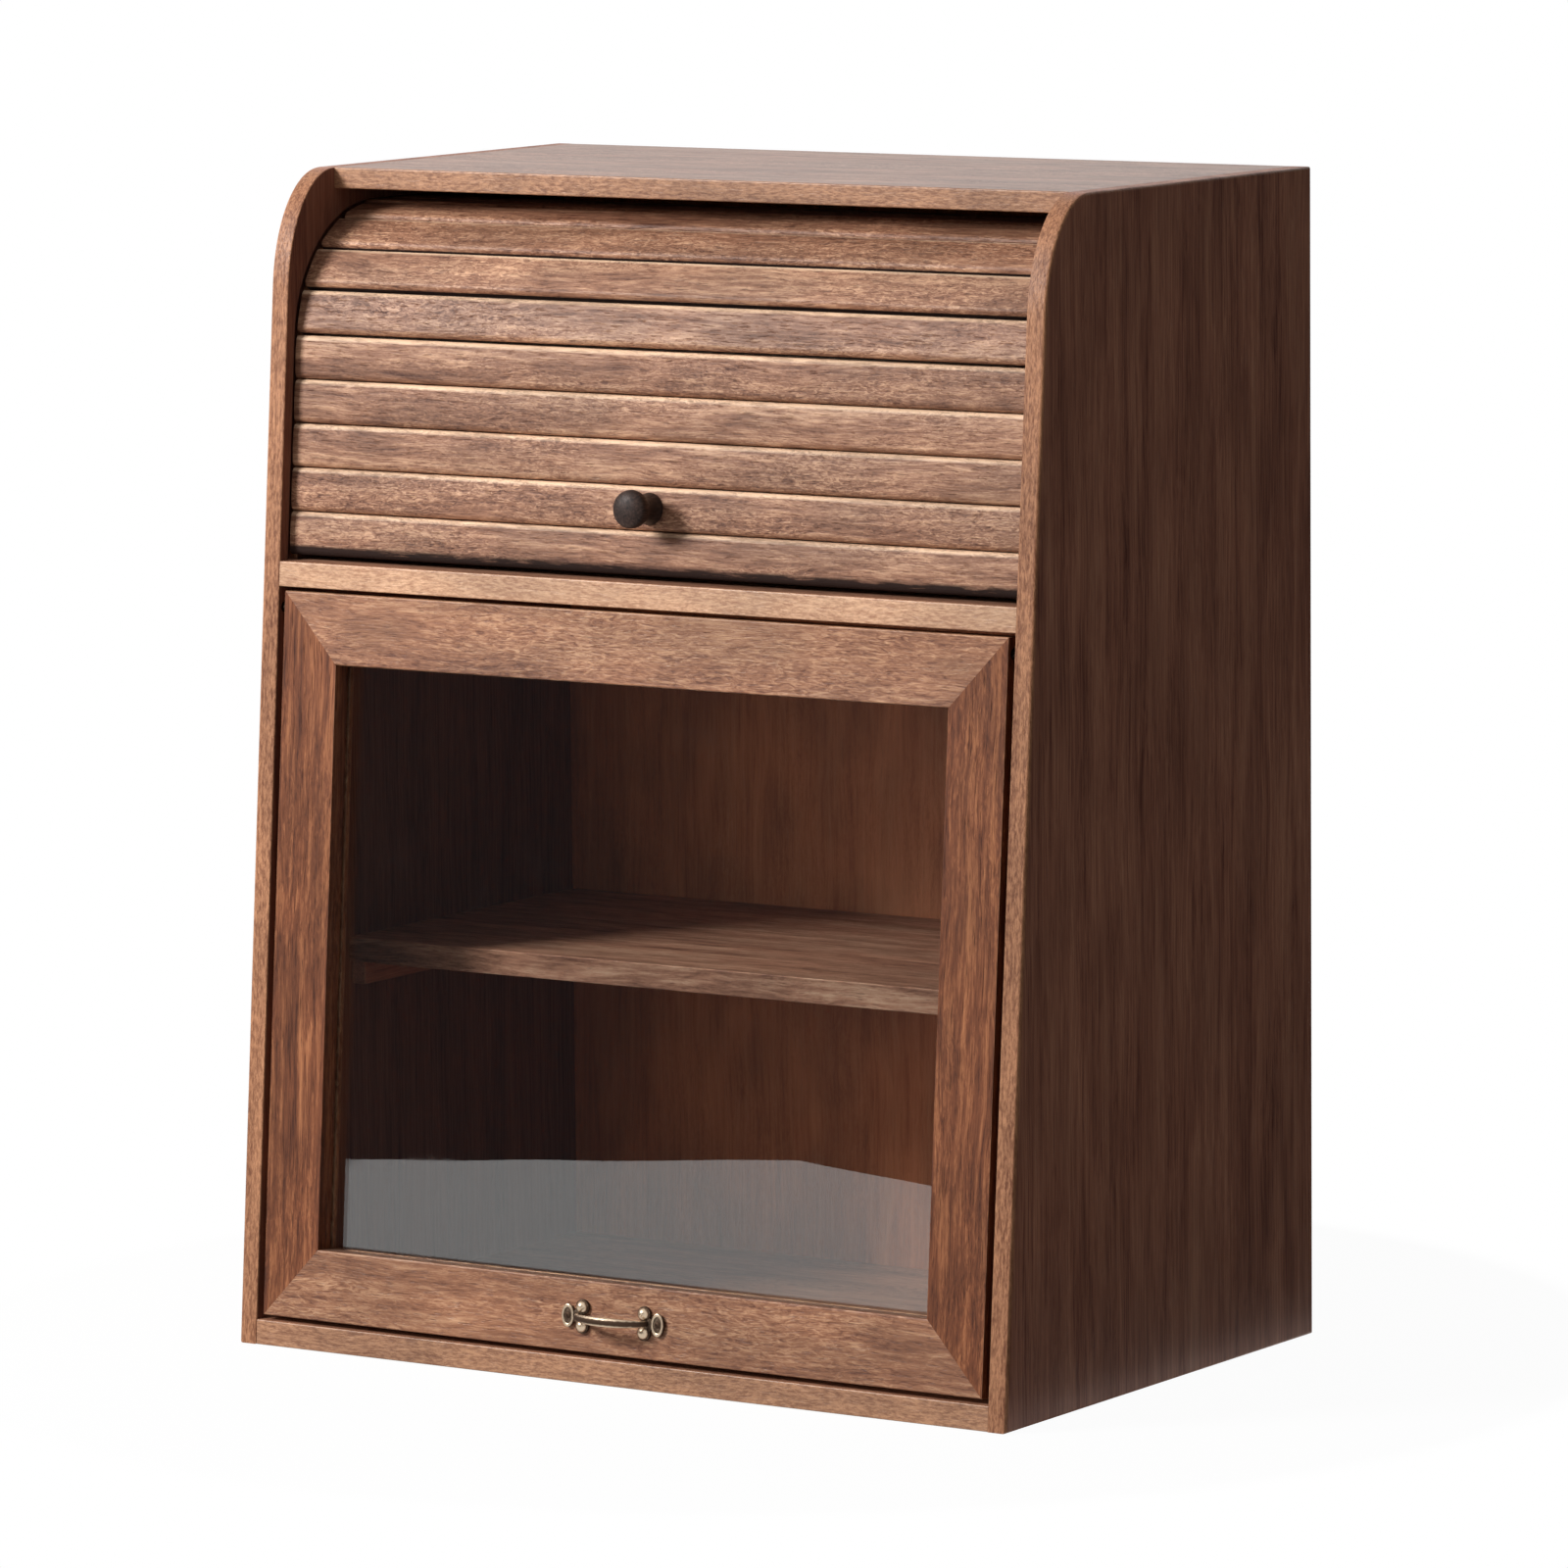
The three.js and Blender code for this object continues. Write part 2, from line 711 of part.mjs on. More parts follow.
function addHandle(door) {
  const z = railWidth / 2;
  for (const [name, side] of [['left', -1], ['right', 1]]) {
    const x = side * handleSpacing / 2;
    addPiece(door, `handle_rosette_${name}`, rosette(side), oldBrass, x, -fitGap, z);
  }
  const footY = -rosetteThickness - 2 * fitGap;
  addPiece(door, 'handle_bow', bow(), oldBrass, 0, footY, z);
}

function addDoor(parent) {
  const door = new THREE.Group();
  door.position.set(0, edgeY(doorBottom), doorBottom);
  door.rotation.x = -leanAngle;
  parent.add(door);
  addDoorFrame(door);
  addGlazing(door);
  addHandle(door);
  const strikeBack = doorThickness + fitGap + strikeThickness;
  const strikeTop = strikeFromBottom + strikeHeight;
  const half = strikeWidth / 2;
  const strike = box(-half, half, doorThickness + fitGap, strikeBack, strikeFromBottom, strikeTop);
  addPiece(door, 'catch_strike', strike, steel);
}

function addPivots(parent) {
  const length = pivotInSide + doorSideGap + pivotInStile - fitGap;
  const middle = innerHalf + pivotInSide - fitGap - length / 2;
  for (const [name, side] of [['left', -1], ['right', 1]]) {
    const pin = new THREE.CylinderGeometry(pivotDiameter / 2, pivotDiameter / 2, length, roundSteps);
    pin.rotateZ(Math.PI / 2);
    addPiece(parent, `door_pivot_${name}`, pin, steel, side * middle, pivot.y, pivot.z);
  }
}

function addCatch(parent) {
  const strikeBack = doorThickness + fitGap + strikeThickness;
  const front = fromDoor(strikeBack, strikeFromBottom + strikeHeight).y + fitGap;
  const half = catchWidth / 2;
  const block = box(-half, half, front, front + catchDepth, boardThickness, boardThickness + catchHeight);
  addPiece(parent, 'catch_magnet', block, darkPlastic);
}

const cabinet = new THREE.Group();
cabinet.position.y = -cabinetDepth / 2;
addCarcase(cabinet);
addShelf(cabinet);
addTambour(cabinet);
addPivots(cabinet);
addCatch(cabinet);
addDoor(cabinet);

const group = new THREE.Group();
group.add(cabinet);

export default group;
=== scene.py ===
"""Dresses a counter-top tea cabinet in walnut: a tambour of slats above, a glazed lift-up door below.

The frame gives every place and size that the pieces must keep. Lengths are in metres.
"""
import json
import math
import random

import bmesh
import bpy
from bpy.props import FloatProperty, FloatVectorProperty, IntProperty, PointerProperty
from mathutils import Matrix, Vector

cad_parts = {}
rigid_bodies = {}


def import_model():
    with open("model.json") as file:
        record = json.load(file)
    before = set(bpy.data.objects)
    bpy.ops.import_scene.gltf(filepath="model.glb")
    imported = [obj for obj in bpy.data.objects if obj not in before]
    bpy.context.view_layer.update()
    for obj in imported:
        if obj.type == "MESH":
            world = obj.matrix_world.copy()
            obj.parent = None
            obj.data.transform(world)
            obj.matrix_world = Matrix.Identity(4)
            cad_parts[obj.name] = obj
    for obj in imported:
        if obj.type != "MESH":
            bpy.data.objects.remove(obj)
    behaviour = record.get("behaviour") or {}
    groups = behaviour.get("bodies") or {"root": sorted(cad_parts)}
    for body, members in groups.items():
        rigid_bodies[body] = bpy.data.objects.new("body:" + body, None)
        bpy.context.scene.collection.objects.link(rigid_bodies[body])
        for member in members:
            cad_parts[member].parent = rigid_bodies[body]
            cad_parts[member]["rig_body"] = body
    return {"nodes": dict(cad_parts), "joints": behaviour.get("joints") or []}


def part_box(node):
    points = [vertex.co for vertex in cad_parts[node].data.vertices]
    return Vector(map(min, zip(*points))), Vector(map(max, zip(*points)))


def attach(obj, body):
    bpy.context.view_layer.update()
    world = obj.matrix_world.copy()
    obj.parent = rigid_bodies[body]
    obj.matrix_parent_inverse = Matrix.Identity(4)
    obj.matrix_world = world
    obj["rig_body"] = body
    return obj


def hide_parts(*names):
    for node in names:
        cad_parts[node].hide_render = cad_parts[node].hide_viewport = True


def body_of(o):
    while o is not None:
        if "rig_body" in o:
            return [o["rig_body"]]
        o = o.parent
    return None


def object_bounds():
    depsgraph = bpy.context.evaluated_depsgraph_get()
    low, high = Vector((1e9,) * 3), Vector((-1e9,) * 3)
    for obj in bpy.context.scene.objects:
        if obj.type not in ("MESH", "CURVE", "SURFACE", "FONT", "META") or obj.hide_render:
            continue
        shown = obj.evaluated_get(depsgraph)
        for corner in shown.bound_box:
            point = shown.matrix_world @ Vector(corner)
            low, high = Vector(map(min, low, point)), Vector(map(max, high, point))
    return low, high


bl_info = {
    "name": "Tea Cabinet",
    "version": (1, 0, 0),
    "blender": (4, 5, 0),
    "location": "3D View > Sidebar > Tea Cabinet",
    "description": "Finishes a walnut tea cabinet with a tambour and a glazed door",
    "category": "Add Mesh",
}

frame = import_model()
cad_low, cad_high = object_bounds()

# The body that carries each node
BODY_OF = {node: body_of(piece)[0] for node, piece in frame["nodes"].items()}
SLATS = sorted(node for node in BODY_OF if node.startswith("tambour_slat_"))
CANVASES = sorted(node for node in BODY_OF if node.startswith("tambour_canvas_"))
HINGE_PLACE = {j["name"]: Vector(j["pos_m"]) for j in frame["joints"] if j["type"] == "hinge"}

WHITE = (1.0, 1.0, 1.0, 1.0)

# A length or radius below this counts as nothing
SMALLEST = 0.000001
# Corners nearer than this are one corner
SAME_CORNER = 0.00001
# Edges that lie this near a plane lie in it
SAME_PLANE = 0.0001
# The least cosine between two directions that count as the same
SAME_DIRECTION = 0.9
# Faces that turn less than this are one flat face
FLAT_ANGLE = math.radians(0.5)
# Edges that turn more than this are eased
EASED_ANGLE = math.radians(35)
# Edges that turn more than this keep a hard line in the light
SHARP_ANGLE = math.radians(50)
# How far a face looks to the front where its lipping starts to show, and where all of it shows
LIPPING_STARTS, LIPPING_WHOLE = 0.12, 0.4


def srgb(red, green, blue):
    """A colour given as 0 to 255 on a screen, as the light that it stands for."""
    shares = (red / 255, green / 255, blue / 255)
    return tuple(s / 12.92 if s <= 0.04045 else ((s + 0.055) / 1.055) ** 2.4 for s in shares)


def length(name, default, description):
    """A length property in metres."""
    return FloatProperty(
        name=name, description=description, default=default, min=0.0, precision=5, unit="LENGTH"
    )


def angle(name, default, description):
    """An angle property whose default is given in degrees."""
    return FloatProperty(
        name=name, description=description, default=math.radians(default), unit="ROTATION"
    )


def share(name, default, description):
    """A plain number with no unit."""
    return FloatProperty(name=name, description=description, default=default, precision=3)


def count(name, default, description):
    """A number of things or of steps."""
    return IntProperty(name=name, description=description, default=default, min=1)


def colour(name, default, description):
    """A colour whose default is given as 0 to 255 on a screen."""
    tone = srgb(*default)
    return FloatVectorProperty(
        name=name, description=description, default=tone, size=3, min=0.0, max=1.0, subtype="COLOR"
    )


# Sizes and colours that a user would change
class StageSettings(bpy.types.PropertyGroup):
    """Camera, lamps and floor."""

    lens: FloatProperty(name="Lens", description="Focal length", default=209.24, unit="CAMERA")
    sensor: FloatProperty(name="Sensor", description="Sensor width", default=36.0, unit="CAMERA")
    azimuth: angle("Azimuth", 33.236, "Turn of the camera from straight ahead")
    elevation: angle("Elevation", 7.501, "Rise of the camera over the horizon")
    roll: angle("Roll", -0.526, "Turn of the camera about its own axis")
    camera_place: FloatVectorProperty(
        name="Camera place",
        description="Where the camera stands",
        default=(2.36441, -3.59698, 0.83497),
        size=3,
        subtype="TRANSLATION",
        unit="LENGTH",
    )
    key_azimuth: angle("Key azimuth", -37.6, "Side that the main lamp stands on")
    key_elevation: angle("Key elevation", 27.0, "Height of the main lamp over the horizon")
    key_distance: length("Key distance", 2.3, "From the cabinet to the main lamp")
    key_width: length("Key width", 0.6, "Width of the main lamp's soft box")
    key_level: share("Key level", 1.04, "Light that the main lamp throws on a face turned to it")
    fill_azimuth: angle("Fill azimuth", -7.0, "Side that the weak front lamp stands on")
    fill_elevation: angle("Fill elevation", 2.0, "Height of the weak front lamp over the horizon")
    fill_distance: length("Fill distance", 3.6, "From the cabinet to the weak front lamp")
    fill_width: length("Fill width", 1.6, "Width of the weak front lamp's soft box")
    fill_level: share("Fill level", 0.11, "Light that the weak front lamp throws on a face turned to it")
    room_level: share("Room level", 0.165, "Light that comes from all sides")
    floor_reach: length("Floor reach", 9.0, "Half the width of the floor")
    floor_drop: length("Floor drop", 0.0002, "Gap between the base and the floor")
    shadow_inner: length("Shadow inner reach", 0.2, "Where the floor's shadow starts to fade")
    shadow_outer: length("Shadow outer reach", 0.42, "Where the floor is plain white")
    shadow_share: share("Shadow share", 0.035, "How much of the floor's white the lamps give")
    floor_tone: colour("Floor tone", (124, 119, 114), "Floor as the cabinet sees it")
    card_tone: colour("Card tone", (50, 53, 56), "Dark cards that the gloss sees")
    front_card_distance: length("Front card distance", 2.2, "From the middle of the base to the front card")
    far_card_distance: length("Far card distance", 5.0, "From the middle of the base to the far card")
    front_card_azimuth: angle("Front card azimuth", -34.465, "Side that the front card stands on")
    side_card_distance: length("Side card distance", 0.235, "From the middle of the base to the side card")


class WoodTone(bpy.types.PropertyGroup):
    """Stain and figure of one kind of wood."""

    deep: colour("Deep", (84, 48, 34), "Darkest streaks")
    middle: colour("Middle", (140, 95, 73), "Ground colour")
    pale: colour("Pale", (188, 142, 116), "Lightest streaks")
    streak_length: length("Streak length", 0.022, "Length of the fibre streaks")
    streak_width: length("Streak width", 0.0021, "Width of the fibre streaks")
    ring_length: length("Ring length", 0.17, "Length of the broad bands")
    ring_width: length("Ring width", 0.011, "Width of the broad bands")
    fleck_length: length("Fleck length", 0.0048, "Length of the short curly flecks")
    fleck_width: length("Fleck width", 0.0014, "Width of the short curly flecks")
    curl: share("Curl", 0.42, "Share of the curly flecks in the pattern")
    pores: share("Pores", 0.6, "Strength of the dark pores")
    # Painted shade: how much darker the faces that lie in shade on one side of a piece are painted
    shade: share("Shade", 0.55, "How much darker the shaded faces are")
    # Paler wear on the eased edges; on the slats' upper edges it is mostly a painted highlight
    wear_and_highlight: share("Wear", 0.55, "How bare the rounded edges are")
    patch: share("Patch", 0.16, "Strength of the broad lighter and darker patches")
    spread: share("Spread", 0.135, "Half the range of the pattern between deep and pale")
    relief: share("Relief", 0.45, "Strength of the surface relief")
    roughness: share("Roughness", 0.46, "Dullness of the lacquer")
    gloss: share("Gloss", 0.4, "Strength of the lacquer's reflection")
    sheen: share("Sheen", 0.0, "Strength of a second, smoother coat")
    lip_deep: colour("Lip deep", (146, 98, 68), "Darker part of the lipped front edges")
    lip_pale: colour("Lip pale", (214, 168, 130), "Lighter part of the lipped front edges")


class WoodSettings(bpy.types.PropertyGroup):
    """All the woods of the cabinet."""

    slats: PointerProperty(name="Slats", description="Wood of the slats", type=WoodTone)
    rails: PointerProperty(name="Rails", description="Wood of the door's rails", type=WoodTone)
    stiles: PointerProperty(name="Stiles", description="Wood of the door's stiles", type=WoodTone)
    case: PointerProperty(name="Case", description="Wood of the case", type=WoodTone)
    boards: PointerProperty(name="Boards", description="Wood of the boards", type=WoodTone)
    middle_board: PointerProperty(
        name="Middle board", description="Wood of the middle board", type=WoodTone
    )
    shelf: PointerProperty(name="Shelf", description="Wood of the shelf", type=WoodTone)
    back: PointerProperty(name="Back", description="Wood of the back panel", type=WoodTone)


class CaseSettings(bpy.types.PropertyGroup):
    """Case joinery."""

    arris: length("Arris", 0.0007, "Easing of the long edges")
    outer_arris: length("Outer arris", 0.0017, "Rounding of the side panels' outer edges")
    arris_steps: count("Arris steps", 3, "Faces across an eased edge")
    shortest_eased: length("Shortest eased edge", 0.003, "Shorter edges stay sharp")
    shortest_facet: length("Shortest facet", 0.001, "Shorter edges of a side panel's outline stay sharp")
    back_inset: length("Back inset", 0.0004, "How far the back panel lies inside the side panels' edges")
    shaded_margin: length("Shaded margin", 0.002, "How near a darker face the edges show no wear")


class TambourSettings(bpy.types.PropertyGroup):
    """Slats and their canvas."""

    gap: length("Slat gap", 0.0004, "Gap between two slats")
    ease: length("Slat ease", 0.0026, "Rounding of the front edges")
    back_ease: length("Back ease", 0.0004, "Rounding of the back edges")
    ease_steps: count("Ease steps", 6, "Steps on each rounded edge")
    face_cuts: count("Face cuts", 3, "Cuts in each side of a slat's section")
    crown: length("Crown", 0.00045, "How far a slat's face falls back at its edges")
    # Painted shade at the foot of the lowest slat, where the gap under it is dark
    painted_foot_shade: length("Painted foot shade", 0.0055, "Height of the darkened wood at the foot of the lowest slat")
    # Painted highlight, with some wear, on each slat's upper front edge
    painted_highlight_gain: share("Painted highlight gain", 3.0, "How fast the wear grows round a slat's upper edge")
    length_steps: count("Length steps", 40, "Steps along a slat")
    wander: length("Wander", 0.00025, "How far a slat's edges wander from straight")
    wander_length: length("Wander length", 0.09, "Length of one wave of that wander")
    canvas_ease: length("Canvas ease", 0.0001, "Rounding of the canvas strips' cut edges")
    canvas_steps: count("Canvas steps", 40, "Faces along a canvas strip")


class KnobSettings(bpy.types.PropertyGroup):
    """Turned knob."""

    foot_gap: length("Foot gap", 0.00005, "Gap between the foot and the slat")
    turns: count("Turns", 72, "Faces round the knob")
    profile_steps: count("Profile steps", 48, "Faces along the knob's profile")
    stain: colour("Stain", (56, 40, 34), "Dark stain")
    worn: colour("Worn stain", (88, 68, 60), "Stain where fingers wear it")


class DoorSettings(bpy.types.PropertyGroup):
    """Door frame and glass."""

    arris: length("Arris", 0.0009, "Easing of the door's long edges")
    mitre_gap: length("Mitre gap", 0.0004, "Gap that the mitres have in the frame model")
    mitre_line: length("Mitre line", 0.00006, "Gap that shows at a mitre")
    glass_arris: length("Glass arris", 0.0003, "Ground edge of the pane")
    glass_tint: colour("Glass tint", (246, 249, 247), "Tint of the pane")
    glass_index: share("Glass index", 1.74, "Refraction of the pane")


class HandleSettings(bpy.types.PropertyGroup):
    """Cast brass handle."""

    lobe_distance: length("Lobe distance", 0.0052, "From the middle of a rosette to a lobe")
    lobe_radius: length("Lobe radius", 0.0036, "Radius of a lobe")
    plate: length("Plate", 0.0014, "Thickness of a rosette's plate")
    plate_ease: length("Plate ease", 0.00045, "Rounding of the plate's rim")
    plate_ease_steps: count("Plate ease steps", 4, "Faces across the plate's rounded rim")
    dome_radius: length("Dome radius", 0.0029, "Radius of a dome")
    dome_height: length("Dome height", 0.0024, "Rise of a dome over the plate")
    ring_radius: length("Ring radius", 0.0028, "Radius of the loop round a screw")
    ring_stretch: share("Ring stretch", 1.65, "How much taller than wide that loop is")
    ring_section: length("Ring section", 0.0006, "Half the thickness of that loop")
    bow_thickness: length("Bow thickness", 0.0024, "Thickness of the bow")
    bow_foot_width: length("Bow foot width", 0.003, "Width of the bow at its feet")
    bow_width: length("Bow width", 0.0044, "Width of the bow in its middle")
    clearance: length("Clearance", 0.00001, "How far the bow stays inside its frame model")
    steps: count("Steps", 40, "Steps on the round forms")
    screw_head: length("Screw head", 0.0032, "Diameter of a screw head")
    screw_rise: length("Screw rise", 0.0006, "How far a screw head stands out of its ring")
    plate_dull: share("Plate dull", 0.8, "Share of the plate's thickness that stays dull")
    dome_bright: share("Dome bright", 0.4, "Share of a dome's rise where its brass starts to be bright")
    # The bow's dull middle is a painted dark reflection between the painted highlights on its sides
    bow_dull: share("Bow dull", 0.3, "Share of the bow's width along its middle that stays dull")
    patina: colour("Patina", (72, 56, 45), "Dark patina in the hollows")
    brass: colour("Brass", (206, 184, 158), "Rubbed brass")


class FastenerSettings(bpy.types.PropertyGroup):
    """Brads on the back and screws on the catch."""

    brads_across: count("Brads across", 5, "Brads along the back panel's top and bottom")
    brads_up: count("Brads up", 6, "Brads along the back panel's sides")
    brad_inset: length("Brad inset", 0.009, "From the panel's edge to the brads")
    brad_diameter: length("Brad diameter", 0.003, "Diameter of a brad's head")
    brad_rise: length("Brad rise", 0.0003, "How far a brad's head stands out")
    screw_diameter: length("Screw diameter", 0.005, "Diameter of a screw's head")
    screw_rise: length("Screw rise", 0.0007, "How far a screw's head stands out")
    flush_rise: length("Flush rise", 0.00015, "How far a countersunk head stands out")
    slot_width: length("Slot width", 0.0006, "Width of a screw's slot")
    head_segments: count("Head segments", 24, "Faces round a head")
    head_rings: count("Head rings", 16, "Rows of faces from a head's top to its underside")
    seed: count("Seed", 7, "Seed of the screws' turns")


SETTINGS = {
    "cabinet_stage": StageSettings,
    "cabinet_wood": WoodSettings,
    "cabinet_case": CaseSettings,
    "cabinet_tambour": TambourSettings,
    "cabinet_knob": KnobSettings,
    "cabinet_door": DoorSettings,
    "cabinet_handle": HandleSettings,
    "cabinet_fasteners": FastenerSettings,
}


def settings(name):
    """The scene's settings of one group."""
    return getattr(bpy.context.scene, f"cabinet_{name}")


# Shader building
def add(tree, kind, inputs=None, **options):
    """Adds a node, sets its options, and sets or links its inputs."""
    node = tree.nodes.new(kind)
    for key, value in options.items():
        setattr(node, key, value)
    for key, value in (inputs or {}).items():
        if isinstance(value, bpy.types.NodeSocket):
            tree.links.new(value, node.inputs[key])
        else:
            node.inputs[key].default_value = value
    return node


def result(tree, kind, inputs=None, **options):
    """Adds a node and gives its first output."""
    return add(tree, kind, inputs, **options).outputs[0]


def new_material(name, **fixed):
    """A material with one main shader. Its fixed values go on the shader's own sockets."""
    material = bpy.data.materials.new(name)
    material.use_nodes = True
    tree = material.node_tree
    shader = tree.nodes["Principled BSDF"]
    for key, value in fixed.items():
        shader.inputs[key.replace("_", " ").title().replace("Ior", "IOR")].default_value = value
    return material, tree, shader


def attribute(tree, name, output="Vector"):
    """A value that the piece's own mesh carries."""
    return add(tree, "ShaderNodeAttribute", attribute_name=name).outputs[output]


def stretched(tree, place, along, across):
    """The place in units of one streak's length and width."""
    scale = (1 / along, 1 / across, 1 / across)
    return add(tree, "ShaderNodeMapping", {"Vector": place, "Scale": scale}).outputs["Vector"]


def noise(tree, place, detail, roughness=0.5, distortion=0.0, output="Fac"):
    """Cloudy noise of about one feature per unit of place."""
    inputs = {
        "Vector": place,
        "Scale": 1.0,
        "Detail": detail,
        "Roughness": roughness,
        "Distortion": distortion,
    }
    return add(tree, "ShaderNodeTexNoise", inputs).outputs[output]


def maths(tree, operation, first, second=0.0, clamp=False):
    """One sum of two values."""
    return result(tree, "ShaderNodeMath", {0: first, 1: second}, operation=operation, use_clamp=clamp)


def vector_maths(tree, operation, first, second):
    """One sum of two vectors."""
    return result(tree, "ShaderNodeVectorMath", {0: first, 1: second}, operation=operation)


def scaled(tree, vector, factor):
    """A vector or a colour times one factor."""
    return result(tree, "ShaderNodeVectorMath", {0: vector, "Scale": factor}, operation="SCALE")


def vector_of(tree, x=0.0, y=0.0, z=0.0):
    """A vector from three values."""
    return result(tree, "ShaderNodeCombineXYZ", {0: x, 1: y, 2: z})


def weighted(tree, parts):
    """The sum of several values, each times its weight."""
    total = 0.0
    for value, weight in parts:
        total = result(tree, "ShaderNodeMath", {0: value, 1: weight, 2: total}, operation="MULTIPLY_ADD")
    return total


def ranged(tree, value, low, high, to_low=0.0, to_high=1.0):
    """A value's range moved to another one, with soft ends."""
    inputs = {"Value": value, "From Min": low, "From Max": high, "To Min": to_low, "To Max": to_high}
    node = add(tree, "ShaderNodeMapRange", inputs, interpolation_type="SMOOTHSTEP", clamp=True)
    return node.outputs["Result"]


def mixed(tree, share_of_second, first, second):
    """Two colours mixed."""
    node = add(tree, "ShaderNodeMix", data_type="RGBA")
    for index, value in ((0, share_of_second), (6, first), (7, second)):
        if isinstance(value, bpy.types.NodeSocket):
            tree.links.new(value, node.inputs[index])
        elif index == 0:
            node.inputs[index].default_value = value
        else:
            node.inputs[index].default_value = (*value, 1.0)
    return node.outputs[2]


def ramp(tree, value, stops):
    """A colour from a value, by stops of place and colour."""
    node = add(tree, "ShaderNodeValToRGB", {"Fac": value})
    elements = node.color_ramp.elements
    while len(elements) < len(stops):
        elements.new(1.0)
    for element, (place, tone) in zip(elements, stops):
        element.position = place
        element.color = (*tone, 1.0)
    return node.outputs["Color"]


def give_relief(tree, shader, height, strength, distance):
    """Fine relief in a shader's surface, as deep as the distance."""
    inputs = {"Height": height, "Strength": strength, "Distance": distance}
    tree.links.new(result(tree, "ShaderNodeBump", inputs), shader.inputs["Normal"])


def walnut_figure(tree, grain, tone):
    """The place in wandering wood, its streaks, its fibres, and the whole figure of both."""
    # The fibres wander: the place across the grain shifts slowly along it
    drift = noise(tree, stretched(tree, grain, 0.085, 0.03), 2, output="Color")
    swing = (0.0, 4 * tone.streak_width, 4 * tone.streak_width)
    shift = vector_maths(tree, "MULTIPLY", vector_maths(tree, "SUBTRACT", drift, (0.5, 0.5, 0.5)), swing)
    bent = vector_maths(tree, "ADD", grain, shift)

    streaks = noise(tree, stretched(tree, bent, tone.streak_length, tone.streak_width), 4, 0.62)
    fibres = noise(tree, stretched(tree, bent, tone.streak_length / 2, tone.streak_width / 4), 3, 0.6)
    rings = noise(tree, stretched(tree, bent, tone.ring_length, tone.ring_width), 3, 0.55, 0.5)
    plain = weighted(tree, [(streaks, 0.42), (fibres, 0.2), (rings, 0.38)])

    # Here and there the plain figure gives way to short curly flecks
    flecks = noise(tree, stretched(tree, bent, tone.fleck_length, tone.fleck_width), 3, 0.68, 1.4)
    places = noise(tree, stretched(tree, grain, 0.12, 0.03), 2)
    curly = ranged(tree, places, 0.38, 0.62, 0.45 * tone.curl, 1.55 * tone.curl)
    figure = weighted(tree, [(plain, 1.0), (maths(tree, "SUBTRACT", flecks, plain), curly)])
    return bent, streaks, fibres, figure


def walnut(name, tone):
    """Stained walnut under satin lacquer, with its streaks along the piece's grain attribute."""
    fixed = {"specular_ior_level": tone.gloss, "coat_weight": tone.sheen, "coat_roughness": 0.3}
    material, tree, shader = new_material(name, **fixed)
    grain = attribute(tree, "grain")
    bent, streaks, fibres, figure = walnut_figure(tree, grain, tone)
    stops = [(0.5 - tone.spread, tone.deep), (0.5, tone.middle), (0.5 + tone.spread, tone.pale)]
    stain = ramp(tree, figure, stops)
    pore_place = stretched(tree, bent, tone.streak_length / 2.4, tone.streak_width / 2.6)
    pores = ranged(tree, noise(tree, pore_place, 2, 0.6), 0.58, 0.72)
    stain = mixed(tree, maths(tree, "MULTIPLY", pores, tone.pores), stain, tone.deep)

    # Lipped front edges take the stain less, and show fine specks of end grain
    bare = ranged(tree, figure, 0.5 - tone.spread, 0.5 + tone.spread)
    specks = ranged(tree, noise(tree, stretched(tree, bent, 0.0045, 0.0011), 3, 0.7), 0.36, 0.64)
    speckled = weighted(tree, [(bare, 0.45), (specks, 0.55)])
    lipping = mixed(tree, speckled, tone.lip_deep, tone.lip_pale)
    stain = mixed(tree, attribute(tree, "lipping", "Fac"), stain, lipping)
    # Paler wear on the eased edges; on the slats' upper edges it is mostly a painted highlight of the light
    # from above
    worn = maths(tree, "MULTIPLY", attribute(tree, "wear_and_highlight", "Fac"), ranged(tree, bare, 0.0, 1.0, 0.35, 1.0))
    stain = mixed(tree, maths(tree, "MULTIPLY", worn, tone.wear_and_highlight, True), stain, tone.lip_pale)

    # Painted shade: the foot of the lowest slat, where the gap under it is dark, is darkened with a ragged
    # upper edge, and so are the faces that lie in shade on one side of a piece. Both are also matt
    ragged = ranged(tree, streaks, 0.3, 0.6, 0.7, 1.6)
    foot = maths(tree, "MULTIPLY", attribute(tree, "foot", "Fac"), ragged)
    painted_shade_tone = tuple(0.2 * c for c in tone.deep)
    darkened = ranged(tree, foot, 0.15, 0.65)
    stain = mixed(tree, darkened, stain, painted_shade_tone)
    shaded = attribute(tree, "shaded", "Fac")
    stain = mixed(tree, maths(tree, "MULTIPLY", shaded, tone.shade), stain, painted_shade_tone)
    patches = noise(tree, stretched(tree, grain, 0.07, 0.025), 2)
    stain = scaled(tree, stain, ranged(tree, patches, 0.3, 0.7, 1 - tone.patch, 1 + tone.patch))
    tree.links.new(stain, shader.inputs["Base Color"])

    dull = ranged(tree, figure, 0.35, 0.65, tone.roughness + 0.06, tone.roughness - 0.06)
    matt = maths(tree, "MULTIPLY", maths(tree, "MAXIMUM", darkened, shaded), 0.4)
    tree.links.new(maths(tree, "ADD", dull, matt, True), shader.inputs["Roughness"])
    height = weighted(tree, [(streaks, 0.5), (fibres, 0.5), (pores, -0.7)])
    give_relief(tree, shader, height, tone.relief, 0.0004)
    return material


